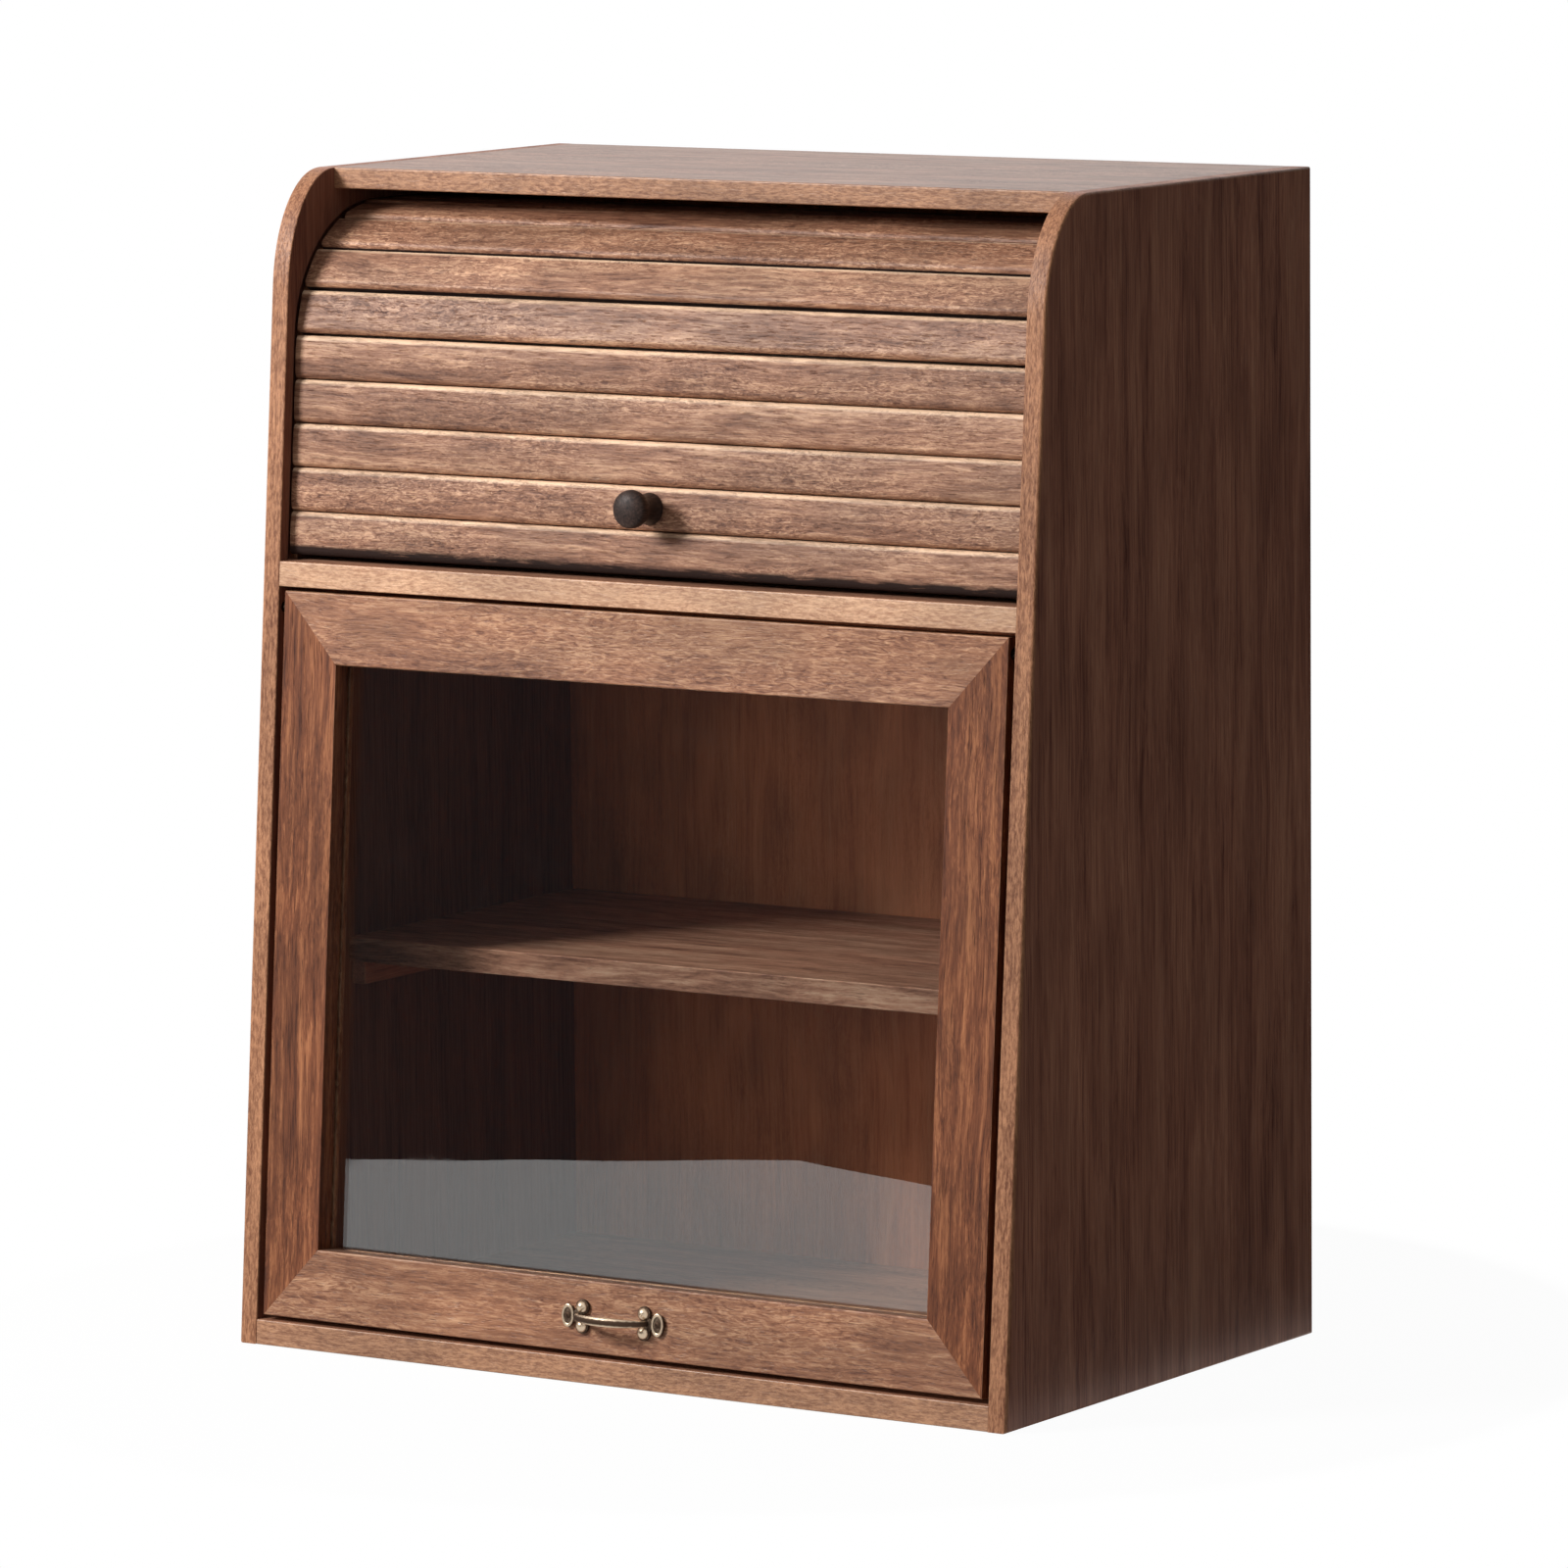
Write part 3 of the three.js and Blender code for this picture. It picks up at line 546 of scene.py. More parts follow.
def weave_cloth(name):
    """Unbleached canvas: two sets of threads under and over each other."""
    thread = 0.0009
    material, tree, shader = new_material(name, roughness=0.92, sheen_weight=0.2)
    place = attribute(tree, "grain")
    turns = vector_maths(tree, "MULTIPLY", place, (math.tau / thread,) * 3)
    split = add(tree, "ShaderNodeSeparateXYZ", {0: turns})
    warp = maths(tree, "SINE", split.outputs["X"])
    weft = maths(tree, "SINE", split.outputs["Y"])
    cross = maths(tree, "MULTIPLY", warp, weft)
    slubs = noise(tree, stretched(tree, place, 0.012, 0.002), 3)
    figure = weighted(tree, [(cross, 0.25), (slubs, 0.8)])
    stops = [(0.2, srgb(104, 92, 76)), (0.45, srgb(158, 145, 124)), (0.7, srgb(190, 180, 160))]
    tone = ramp(tree, figure, stops)
    tree.links.new(tone, shader.inputs["Base Color"])
    give_relief(tree, shader, cross, 0.5, 0.0002)
    return material


def stained_turning(name):
    """Near-black stain on turned wood, with a soft lacquer."""
    knob = settings("knob")
    material, tree, shader = new_material(name, specular_ior_level=0.22)
    place = attribute(tree, "grain")
    streaks = noise(tree, stretched(tree, place, 0.012, 0.0012), 4, 0.6)
    clouds = noise(tree, stretched(tree, place, 0.008, 0.008), 2)
    figure = weighted(tree, [(streaks, 0.6), (clouds, 0.4)])
    tone = ramp(tree, figure, [(0.36, srgb(26, 20, 18)), (0.52, knob.stain), (0.74, knob.worn)])
    tree.links.new(tone, shader.inputs["Base Color"])
    tree.links.new(ranged(tree, figure, 0.4, 0.6, 0.58, 0.48), shader.inputs["Roughness"])
    give_relief(tree, shader, streaks, 0.2, 0.0002)
    return material


def aged_brass(name):
    """Cast brass: dark patina in the hollows, worn bright on the high spots. On the bow's sides the bright
    brass is partly painted highlight.
    """
    handle = settings("handle")
    material, tree, shader = new_material(name, metallic=1.0)
    place = add(tree, "ShaderNodeTexCoord").outputs["Object"]
    clouds = noise(tree, stretched(tree, place, 0.0016, 0.0016), 3, 0.6)
    # Brightness of the brass: worn high spots, and on the bow's sides also painted highlights
    worn_and_highlit = weighted(tree, [(attribute(tree, "polish_and_highlight", "Fac"), 0.9), (clouds, 0.5)])
    bright = ranged(tree, worn_and_highlit, 0.35, 0.95)
    tone = mixed(tree, bright, handle.patina, handle.brass)
    tree.links.new(tone, shader.inputs["Base Color"])
    tree.links.new(ranged(tree, worn_and_highlit, 0.3, 1.0, 0.6, 0.34), shader.inputs["Roughness"])
    give_relief(tree, shader, clouds, 0.25, 0.0001)
    return material


def brushed_steel(name, deep=srgb(120, 118, 114), pale=srgb(196, 194, 188)):
    """Plated steel with faint scratches, zinc grey or as given."""
    material, tree, shader = new_material(name, metallic=1.0)
    place = add(tree, "ShaderNodeTexCoord").outputs["Object"]
    scratches = noise(tree, stretched(tree, place, 0.006, 0.0002), 3, 0.6)
    tone = ramp(tree, scratches, [(0.35, deep), (0.65, pale)])
    tree.links.new(tone, shader.inputs["Base Color"])
    tree.links.new(ranged(tree, scratches, 0.35, 0.65, 0.42, 0.26), shader.inputs["Roughness"])
    return material


def moulded_plastic(name):
    """Brown moulded plastic with a fine spark finish."""
    material, tree, shader = new_material(name, specular_ior_level=0.4)
    place = add(tree, "ShaderNodeTexCoord").outputs["Object"]
    grains = noise(tree, stretched(tree, place, 0.0003, 0.0003), 2)
    clouds = noise(tree, stretched(tree, place, 0.01, 0.01), 2)
    figure = weighted(tree, [(grains, 0.4), (clouds, 0.6)])
    tone = ramp(tree, figure, [(0.35, srgb(58, 40, 30)), (0.65, srgb(84, 60, 46))])
    tree.links.new(tone, shader.inputs["Base Color"])
    tree.links.new(ranged(tree, figure, 0.35, 0.65, 0.62, 0.5), shader.inputs["Roughness"])
    give_relief(tree, shader, grains, 0.3, 0.0001)
    return material


def window_glass(name):
    """Clear float glass, slightly uneven. Shadows and the light inside pass it freely."""
    door = settings("door")
    fixed = {"transmission_weight": 1.0, "ior": door.glass_index, "base_color": (*door.glass_tint, 1.0)}
    material, tree, shader = new_material(name, **fixed)
    place = add(tree, "ShaderNodeTexCoord").outputs["Object"]
    ripple = noise(tree, stretched(tree, place, 0.12, 0.12), 1)
    smears = noise(tree, stretched(tree, place, 0.05, 0.02), 4, 0.6)
    tree.links.new(ranged(tree, smears, 0.5, 0.8, 0.0, 0.05), shader.inputs["Roughness"])
    give_relief(tree, shader, ripple, 0.05, 0.001)
    path = add(tree, "ShaderNodeLightPath")
    free = maths(tree, "MAXIMUM", path.outputs["Is Shadow Ray"], path.outputs["Is Diffuse Ray"])
    passing = result(tree, "ShaderNodeBsdfTransparent", {"Color": (*door.glass_tint, 1.0)})
    both = result(tree, "ShaderNodeMixShader", {0: free, 1: shader.outputs[0], 2: passing})
    tree.links.new(both, tree.nodes["Material Output"].inputs["Surface"])
    return material


def seen_in_gloss(tree, path):
    """1 for what gloss and glass show."""
    return maths(tree, "MAXIMUM", path.outputs["Is Glossy Ray"], path.outputs["Is Transmission Ray"])


def seen_directly(tree):
    """1 for what the camera sees itself or by way of gloss and glass."""
    path = add(tree, "ShaderNodeLightPath")
    return maths(tree, "MAXIMUM", path.outputs["Is Camera Ray"], seen_in_gloss(tree, path))


def floor_finish(name):
    """Pale floor: it holds the soft shadow near the cabinet and runs out into plain white."""
    stage = settings("stage")
    material, tree, shader = new_material(name, roughness=0.9, specular_ior_level=0.0)
    shader.inputs["Base Color"].default_value = (*stage.floor_tone, 1.0)
    place = add(tree, "ShaderNodeTexCoord").outputs["Object"]
    reach = add(tree, "ShaderNodeVectorMath", {0: place}, operation="LENGTH").outputs["Value"]
    far = ranged(tree, reach, stage.shadow_inner, stage.shadow_outer)
    white = result(tree, "ShaderNodeEmission", {"Color": WHITE, "Strength": 1.0})
    paper = result(tree, "ShaderNodeBsdfDiffuse", {"Color": WHITE})
    glow = maths(tree, "MAXIMUM", far, 1 - stage.shadow_share)
    lit = result(tree, "ShaderNodeMixShader", {0: glow, 1: paper, 2: white})
    gloss = seen_in_gloss(tree, add(tree, "ShaderNodeLightPath"))
    shown = result(tree, "ShaderNodeMixShader", {0: gloss, 1: lit, 2: white})
    inputs = {0: seen_directly(tree), 1: shader.outputs[0], 2: shown}
    whole = result(tree, "ShaderNodeMixShader", inputs)
    tree.links.new(whole, tree.nodes["Material Output"].inputs["Surface"])
    return material


# Mesh building
def grain_seed(name):
    """A fixed shift for a piece, so that no two pieces show the same stretch of wood."""
    draw = random.Random(name)
    return Vector((draw.uniform(0, 9), draw.uniform(0, 9), draw.uniform(0, 9)))


def set_points(mesh, name, kind, values):
    """Stores one value for each vertex."""
    layer = mesh.attributes.new(name, kind, "POINT")
    key = "vector" if kind == "FLOAT_VECTOR" else "value"
    flat = [c for v in values for c in v] if kind == "FLOAT_VECTOR" else list(values)
    layer.data.foreach_set(key, flat)


def set_grain(mesh, name, along):
    """Stores each vertex's place as along, across and through the grain."""
    along = Vector(along).normalized()
    side = Vector((1, 0, 0)) if abs(along.x) < 0.5 else Vector((0, 0, 1))
    across = (side - along * side.dot(along)).normalized()
    through = along.cross(across)
    shift = grain_seed(name)
    places = [(v.co.dot(along), v.co.dot(across), v.co.dot(through)) for v in mesh.vertices]
    set_points(mesh, "grain", "FLOAT_VECTOR", [Vector(p) + shift for p in places])


def even_normals(piece):
    """Keeps the large faces flat in the light, with the rounded edges blending between them."""
    piece.data.set_sharp_from_angle(angle=SHARP_ANGLE)
    modifier = piece.modifiers.new("Even normals", "WEIGHTED_NORMAL")
    modifier.keep_sharp = True


def mesh_of(name, shape, smooth=True):
    """The finished mesh of a shape, which is freed."""
    mesh = bpy.data.meshes.new(name)
    shape.to_mesh(mesh)
    shape.free()
    mesh.polygons.foreach_set("use_smooth", [smooth] * len(mesh.polygons))
    return mesh


def place_piece(name, mesh, material, nodes, replacing=True):
    """Adds a finished mesh to the scene on the body of its nodes, in their place or as well as them."""
    piece = bpy.data.objects.new(name, mesh)
    bpy.context.scene.collection.objects.link(piece)
    mesh.materials.clear()
    mesh.materials.append(material)
    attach(piece, BODY_OF[nodes[0]])
    if replacing:
        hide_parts(*nodes)
    return piece


def merged_copy(node):
    """A node's mesh with its corners joined and its flat faces whole."""
    shape = bmesh.new()
    shape.from_mesh(frame["nodes"][node].data)
    bmesh.ops.remove_doubles(shape, verts=shape.verts, dist=SAME_CORNER)
    bmesh.ops.dissolve_limit(shape, angle_limit=FLAT_ANGLE, verts=shape.verts, edges=shape.edges)
    return shape


def ease_edges(shape, width, steps, wanted, shortest):
    """Rounds the wanted sharp outer edges. Returns the vertices in the middle of the rounding."""
    sharp = [
        edge
        for edge in shape.edges
        if len(edge.link_faces) == 2
        and edge.is_convex
        and edge.calc_face_angle() > EASED_ANGLE
        and edge.calc_length() > shortest
        and wanted(edge)
    ]
    made = bmesh.ops.bevel(
        shape, geom=sharp, offset=width, segments=steps, profile=0.5, affect="EDGES", clamp_overlap=True
    )
    rounded = set(made["faces"])
    return [v for v in shape.verts if v.link_faces and all(f in rounded for f in v.link_faces)]


def edge_direction(edge):
    """The unit direction of an edge."""
    return (edge.verts[1].co - edge.verts[0].co).normalized()


def wooden_piece(
    node, material, along, wanted, arris, lipped=False, change=None, outer=None, painted_shade_side=None
):
    """An eased copy of a wooden node with its grain, its wear, its lipped front and painted shade on one
    side.

    The outer edges get the side panels' larger rounding. Wear stops near the side with painted shade.
    """
    case = settings("case")
    shape = merged_copy(node)
    if change:
        change(shape)
    shortest = case.shortest_facet if outer else case.shortest_eased
    rounded = ease_edges(shape, case.outer_arris, case.arris_steps, outer, shortest) if outer else []
    middle = rounded + ease_edges(shape, arris, case.arris_steps, wanted, shortest)
    middle = [v for v in middle if v.is_valid]
    shape.verts.index_update()
    if painted_shade_side:
        limit = max(v.co.dot(painted_shade_side) for v in shape.verts) - case.shaded_margin
        middle = [v for v in middle if v.co.dot(painted_shade_side) < limit]
    worn = {v.index for v in middle}
    shape.normal_update()
    fronts = [
        ranged_share(-f.normal.y, LIPPING_STARTS, LIPPING_WHOLE) if lipped else 0.0 for f in shape.faces
    ]
    shades = [
        float(painted_shade_side is not None and f.normal.dot(painted_shade_side) > SAME_DIRECTION) for f in shape.faces
    ]
    mesh = mesh_of(node, shape)
    set_grain(mesh, node, along)
    set_points(mesh, "wear_and_highlight", "FLOAT", [1.0 if v.index in worn else 0.0 for v in mesh.vertices])
    for name, values in (("lipping", fronts), ("shaded", shades)):
        mesh.attributes.new(name, "FLOAT", "FACE").data.foreach_set("value", values)
    even_normals(place_piece(f"{node}_wood", mesh, material, [node]))


def ranged_share(value, low, high):
    """How far a value is on its way from low to high, from 0 to 1."""
    return min(max((value - low) / (high - low), 0.0), 1.0)


def lathe(profile, turns, axis, start):
    """A closed turned shape. The profile's points are radius and distance along the axis."""
    shape = bmesh.new()
    axis = Vector(axis).normalized()
    side = axis.orthogonal().normalized()
    third = axis.cross(side)
    rings = []
    for radius, along in profile:
        centre = Vector(start) + axis * along
        if radius < SMALLEST:
            rings.append([shape.verts.new(centre)])
            continue
        ring = []
        for turn in range(turns):
            swing = math.tau * turn / turns
            spoke = side * math.cos(swing) + third * math.sin(swing)
            ring.append(shape.verts.new(centre + spoke * radius))
        rings.append(ring)
    for lower, upper in zip(rings, rings[1:]):
        for turn in range(turns):
            near = [lower[turn % len(lower)], lower[(turn + 1) % len(lower)]]
            far = [upper[(turn + 1) % len(upper)], upper[turn % len(upper)]]
            corners = list(dict.fromkeys(near + far))
            if len(corners) > 2:
                shape.faces.new(corners)
    bmesh.ops.recalc_face_normals(shape, faces=shape.faces)
    return shape


def join_shapes(target, source):
    """Adds one shape's mesh to another's."""
    spare = bpy.data.meshes.new("spare")
    source.to_mesh(spare)
    source.free()
    target.from_mesh(spare)
    bpy.data.meshes.remove(spare)


# Geometry trees
def new_tree(name, sockets):
    """A geometry tree with named inputs. The first input is the mesh that it starts from."""
    tree = bpy.data.node_groups.new(name, "GeometryNodeTree")
    tree.is_modifier = True
    tree.interface.new_socket("Geometry", in_out="INPUT", socket_type="NodeSocketGeometry")
    tree.interface.new_socket("Geometry", in_out="OUTPUT", socket_type="NodeSocketGeometry")
    for socket, kind in sockets.items():
        tree.interface.new_socket(socket, in_out="INPUT", socket_type=kind)
    return tree, tree.nodes.new("NodeGroupInput").outputs


def end_tree(tree, geometry, material):
    """Ends a tree with plain geometry in its material."""
    whole = result(tree, "GeometryNodeRealizeInstances", {"Geometry": geometry})
    finished = result(tree, "GeometryNodeSetMaterial", {"Geometry": whole, "Material": material})
    add(tree, "NodeGroupOutput", {0: finished})


def grown_mesh(name, tree, values, places=()):
    """The plain mesh that a tree gives for these values, grown at these places."""
    start = bpy.data.meshes.new(f"{name}_start")
    start.from_pydata([tuple(place) for place in places], [], [])
    carrier = bpy.data.objects.new(name, start)
    bpy.context.scene.collection.objects.link(carrier)
    modifier = carrier.modifiers.new(tree.name, "NODES")
    modifier.node_group = tree
    for item in tree.interface.items_tree:
        if item.in_out == "INPUT" and item.name in values:
            modifier[item.identifier] = values[item.name]
    graph = bpy.context.evaluated_depsgraph_get()
    grown = carrier.evaluated_get(graph)
    mesh = bpy.data.meshes.new_from_object(grown, preserve_all_data_layers=True, depsgraph=graph)
    mesh.name = name
    carrier.modifiers.remove(modifier)
    bpy.data.objects.remove(carrier)
    return mesh


def place_of(tree):
    """The X, Y and Z of each point."""
    return add(tree, "ShaderNodeSeparateXYZ", {0: result(tree, "GeometryNodeInputPosition")}).outputs


def stored(tree, geometry, name, value, kind="FLOAT"):
    """The geometry with one value kept on each of its points."""
    inputs = {"Geometry": geometry, "Name": name, "Value": value}
    return result(tree, "GeometryNodeStoreNamedAttribute", inputs, data_type=kind, domain="POINT")


def slat_section(tree, given, tall, depth):
    """A slat's rounded and crowned section, marked with wear and painted highlight on its upper front edge
    and with painted shade at its foot. Its front is at +X and its top at -Y when swept.
    """
    tambour = settings("tambour")
    inputs = {"Width": given["Thickness"], "Height": tall}
    outline = result(tree, "GeometryNodeCurvePrimitiveQuadrilateral", inputs, mode="RECTANGLE")
    inputs = {0: place_of(tree)["X"], 1: 0.0}
    in_front = result(tree, "FunctionNodeCompare", inputs, operation="GREATER_THAN")
    inputs = {"Switch": in_front, "False": given["Back Ease"], "True": given["Ease"]}
    radius = result(tree, "GeometryNodeSwitch", inputs, input_type="FLOAT")
    inputs = {"Curve": outline, "Radius": radius, "Count": tambour.ease_steps, "Limit Radius": True}
    rounded = result(tree, "GeometryNodeFilletCurve", inputs, mode="POLY")
    inputs = {"Curve": rounded, "Cuts": tambour.face_cuts}
    finer = result(tree, "GeometryNodeSubdivideCurve", inputs)

    # Wear and painted highlight are strongest in the middle of the upper front edge, and there is none past
    # that edge's ends
    spot = place_of(tree)
    rise = maths(tree, "MULTIPLY", tall, 0.5)
    level = maths(tree, "MULTIPLY", spot["Y"], -1.0)
    from_flat = maths(tree, "SUBTRACT", spot["X"], depth)
    past_x = maths(tree, "MAXIMUM", maths(tree, "ADD", from_flat, given["Ease"]), 0.0)
    from_end = maths(tree, "SUBTRACT", level, rise)
    past_y = maths(tree, "MAXIMUM", maths(tree, "ADD", from_end, given["Ease"]), 0.0)
    square = maths(tree, "MULTIPLY", given["Ease"], given["Ease"])
    share_round = maths(tree, "DIVIDE", maths(tree, "MULTIPLY", past_x, past_y), square)
    marked = stored(tree, finer, "wear_and_highlight", maths(tree, "MULTIPLY", share_round, tambour.painted_highlight_gain))

    # How near the lower edge each point is, for the painted shade at the foot of the lowest slat
    above = maths(tree, "ADD", level, rise)
    reach = maths(tree, "MAXIMUM", given["Painted Foot Shade"], SMALLEST)
    near = maths(tree, "SUBTRACT", 1.0, maths(tree, "DIVIDE", above, reach))
    footed = stored(tree, marked, "foot", maths(tree, "MAXIMUM", near, 0.0))

    # A slight crown: the front falls back towards its upper and lower edges
    out = maths(tree, "DIVIDE", level, rise)
    fall = maths(tree, "MULTIPLY", maths(tree, "MULTIPLY", out, out), given["Crown"])
    back = vector_of(tree, maths(tree, "MULTIPLY", fall, -1.0))
    inputs = {"Geometry": footed, "Selection": in_front, "Offset": back}
    return result(tree, "GeometryNodeSetPosition", inputs)


def swept_slat(tree, given, section, depth):
    """One slat, with its lower bending line at the origin and its chord along Z."""
    half = maths(tree, "MULTIPLY", given["Length"], 0.5)
    other = maths(tree, "MULTIPLY", half, -1.0)
    inputs = {"Start": vector_of(tree, other), "End": vector_of(tree, half)}
    line = result(tree, "GeometryNodeCurvePrimitiveLine", inputs)
    inputs = {"Curve": line, "Count": settings("tambour").length_steps}
    stepped = result(tree, "GeometryNodeResampleCurve", inputs)
    inputs = {"Curve": stepped, "Profile Curve": section, "Fill Caps": True}
    swept = result(tree, "GeometryNodeCurveToMesh", inputs)
    middle = maths(tree, "SUBTRACT", given["Back"], depth)
    chord = maths(tree, "MULTIPLY", given["Height"], 0.5)
    inputs = {"Geometry": swept, "Translation": vector_of(tree, 0.0, middle, chord)}
    seated = result(tree, "GeometryNodeTransform", inputs)
    return result(tree, "GeometryNodeSetShadeSmooth", {"Geometry": seated, "Shade Smooth": True})


def slat_tree(material):
    """A run of slats, each with rounded front edges that wander a little from straight."""
    tambour = settings("tambour")
    sizes = ("Length", "Height", "Thickness", "Back", "Gap", "Ease", "Back Ease", "Crown", "Painted Foot Shade")
    sockets = {name: "NodeSocketFloat" for name in (*sizes, "Wander", "Tilt")}
    sockets |= {"Count": "NodeSocketInt", "Start": "NodeSocketVector", "Shift": "NodeSocketVector"}
    tree, given = new_tree("Tambour slats", sockets)
    tall = maths(tree, "SUBTRACT", given["Height"], given["Gap"])
    depth = maths(tree, "MULTIPLY", given["Thickness"], 0.5)
    slat = swept_slat(tree, given, slat_section(tree, given, tall, depth), depth)

    # The run of slats up the chord
    inputs = {"Count": given["Count"], "Offset": vector_of(tree, z=given["Height"])}
    points = result(tree, "GeometryNodeMeshLine", inputs)
    copies = result(tree, "GeometryNodeInstanceOnPoints", {"Points": points, "Instance": slat})
    whole = result(tree, "GeometryNodeRealizeInstances", {"Geometry": copies})

    # Grain runs along the slat. Each run starts at another place in the wood
    spot = place_of(tree)
    moved = vector_maths(tree, "ADD", vector_of(tree, spot["X"], spot["Z"], spot["Y"]), given["Shift"])
    grained = stored(tree, whole, "grain", moved, "FLOAT_VECTOR")

    # The surface wanders a little up and down, and in and out
    inputs = {"Vector": moved, "Scale": 1 / tambour.wander_length, "Detail": 2.0}
    waves = add(tree, "ShaderNodeTexNoise", inputs).outputs["Color"]
    centred = vector_maths(tree, "SUBTRACT", waves, (0.5, 0.5, 0.5))
    sway = vector_maths(tree, "MULTIPLY", scaled(tree, centred, given["Wander"]), (0, 1, 1))
    uneven = result(tree, "GeometryNodeSetPosition", {"Geometry": grained, "Offset": sway})
    turn = vector_of(tree, given["Tilt"])
    inputs = {"Geometry": uneven, "Rotation": turn, "Translation": given["Start"]}
    end_tree(tree, result(tree, "GeometryNodeTransform", inputs), material)
    return tree


def head_tree(material):
    """Domed heads of screws or brads, one at each given place. A slot wider than nothing is cut."""
    fasteners = settings("fasteners")
    sockets = {name: "NodeSocketFloat" for name in ("Diameter", "Rise", "Slot", "Tilt")}
    sockets |= {"Seed": "NodeSocketInt"}
    tree, given = new_tree("Heads", sockets)
    radius = maths(tree, "MULTIPLY", given["Diameter"], 0.5)
    inputs = {"Segments": fasteners.head_segments, "Rings": fasteners.head_rings, "Radius": radius}
    ball = result(tree, "GeometryNodeMeshUVSphere", inputs)
    flat = vector_of(tree, 1.0, 1.0, maths(tree, "DIVIDE", given["Rise"], radius))
    dome = result(tree, "GeometryNodeTransform", {"Geometry": ball, "Scale": flat})

    # A bar as wide as the slot is cut from the top of the dome
    bar_length = maths(tree, "MULTIPLY", given["Diameter"], 2.0)
    bar_size = vector_of(tree, bar_length, given["Slot"], given["Rise"])
    bar = result(tree, "GeometryNodeMeshCube", {"Size": bar_size})
    inputs = {"Geometry": bar, "Translation": vector_of(tree, z=given["Rise"])}
    raised = result(tree, "GeometryNodeTransform", inputs)
    inputs = {"Mesh 1": dome, "Mesh 2": raised}
    slotted = result(tree, "GeometryNodeMeshBoolean", inputs, operation="DIFFERENCE", solver="EXACT")
    has_slot = result(tree, "FunctionNodeCompare", {0: given["Slot"], 1: 0.0}, operation="GREATER_THAN")
    inputs = {"Switch": has_slot, "False": dome, "True": slotted}
    head = result(tree, "GeometryNodeSwitch", inputs, input_type="GEOMETRY")

    # A head is made looking up, laid towards its face by the tilt, and turned about its own axis
    inputs = {"Points": given["Geometry"], "Instance": head, "Rotation": vector_of(tree, given["Tilt"])}
    copies = result(tree, "GeometryNodeInstanceOnPoints", inputs)
    inputs = {"Seed": given["Seed"], 2: 0.0, 3: math.pi}
    draw = add(tree, "FunctionNodeRandomValue", inputs, data_type="FLOAT").outputs[1]
    inputs = {"Instances": copies, "Rotation": vector_of(tree, z=draw), "Local Space": True}
    end_tree(tree, result(tree, "GeometryNodeRotateInstances", inputs), material)
    return tree


def add_heads(name, node, places, material, tilt, diameter, rise, slot=0.0):
    """The heads of screws or brads that hold a node, on the node's body."""
    values = {
        "Diameter": diameter,
        "Rise": rise,
        "Slot": slot,
        "Tilt": tilt,
        "Seed": settings("fasteners").seed,
    }
    mesh = grown_mesh(name, head_tree(material), values, places)
    mesh.polygons.foreach_set("use_smooth", [True] * len(mesh.polygons))
    mesh.set_sharp_from_angle(angle=SHARP_ANGLE)
    place_piece(name, mesh, material, [node], replacing=False)


# The stage
def photo_camera():
    """The camera where the photograph was taken from."""
    stage = settings("stage")
    flat = math.cos(stage.elevation)
    back = Vector((
        math.sin(stage.azimuth) * flat,
        -math.cos(stage.azimuth) * flat,
        math.sin(stage.elevation),
    ))
    right = Vector((math.cos(stage.azimuth), math.sin(stage.azimuth), 0.0))
    up = back.cross(right)
    rolled = right * math.cos(stage.roll) + up * math.sin(stage.roll)
    head = up * math.cos(stage.roll) - right * math.sin(stage.roll)
    data = bpy.data.cameras.new("Photograph")
    data.lens = stage.lens
    data.sensor_width = stage.sensor
    camera = bpy.data.objects.new("Photograph", data)
    turn = Matrix((rolled, head, back)).transposed().to_4x4()
    camera.matrix_world = Matrix.Translation(stage.camera_place) @ turn
    bpy.context.scene.collection.objects.link(camera)
    bpy.context.scene.camera = camera


def sheet_of(name, corners, material):
    """A flat sheet on the stage."""
    mesh = bpy.data.meshes.new(name)
    mesh.from_pydata([tuple(c) for c in corners], [], [tuple(range(len(corners)))])
    mesh.materials.append(material)
    sheet = bpy.data.objects.new(name, mesh)
    bpy.context.scene.collection.objects.link(sheet)
    return sheet


def gloss_only(sheet):
    """Only gloss and glass see this sheet."""
    sheet.visible_camera = False
    sheet.visible_diffuse = False
    sheet.visible_shadow = False


def soft_box(name, azimuth, elevation, distance, width, level):
    """A square soft lamp that looks at the middle of the cabinet."""
    flat = math.cos(elevation)
    towards = Vector((math.sin(azimuth) * flat, -math.cos(azimuth) * flat, math.sin(elevation)))
    data = bpy.data.lights.new(name, "AREA")
    data.shape = "SQUARE"
    data.size = width
    data.energy = level * (math.pi * distance) ** 2
    lamp = bpy.data.objects.new(name, data)
    turn = towards.to_track_quat("Z", "Y").to_matrix().to_4x4()
    lamp.matrix_world = Matrix.Translation((cad_low + cad_high) / 2 + towards * distance) @ turn
    bpy.context.scene.collection.objects.link(lamp)
    return lamp


def set_lamps():
    """A main lamp from the left and above, and a weak one from the front that reaches the back panel."""
    stage = settings("stage")
    place = (stage.key_azimuth, stage.key_elevation, stage.key_distance)
    soft_box("Key", *place, stage.key_width, stage.key_level)
    place = (stage.fill_azimuth, stage.fill_elevation, stage.fill_distance)
    fill = soft_box("Fill", *place, stage.fill_width, stage.fill_level)
    fill.visible_glossy = False


def plain_world():
    """Light from all sides, and white where the camera, gloss and glass look past the floor."""
    stage = settings("stage")
    world = bpy.data.worlds.new("Studio")
    world.use_nodes = True
    tree = world.node_tree
    tree.nodes.clear()
    room = result(tree, "ShaderNodeBackground", {"Color": WHITE, "Strength": stage.room_level})
    white = result(tree, "ShaderNodeBackground", {"Color": WHITE, "Strength": 1.0})
    both = result(tree, "ShaderNodeMixShader", {0: seen_directly(tree), 1: room, 2: white})
    add(tree, "ShaderNodeOutputWorld", {"Surface": both})
    bpy.context.scene.world = world


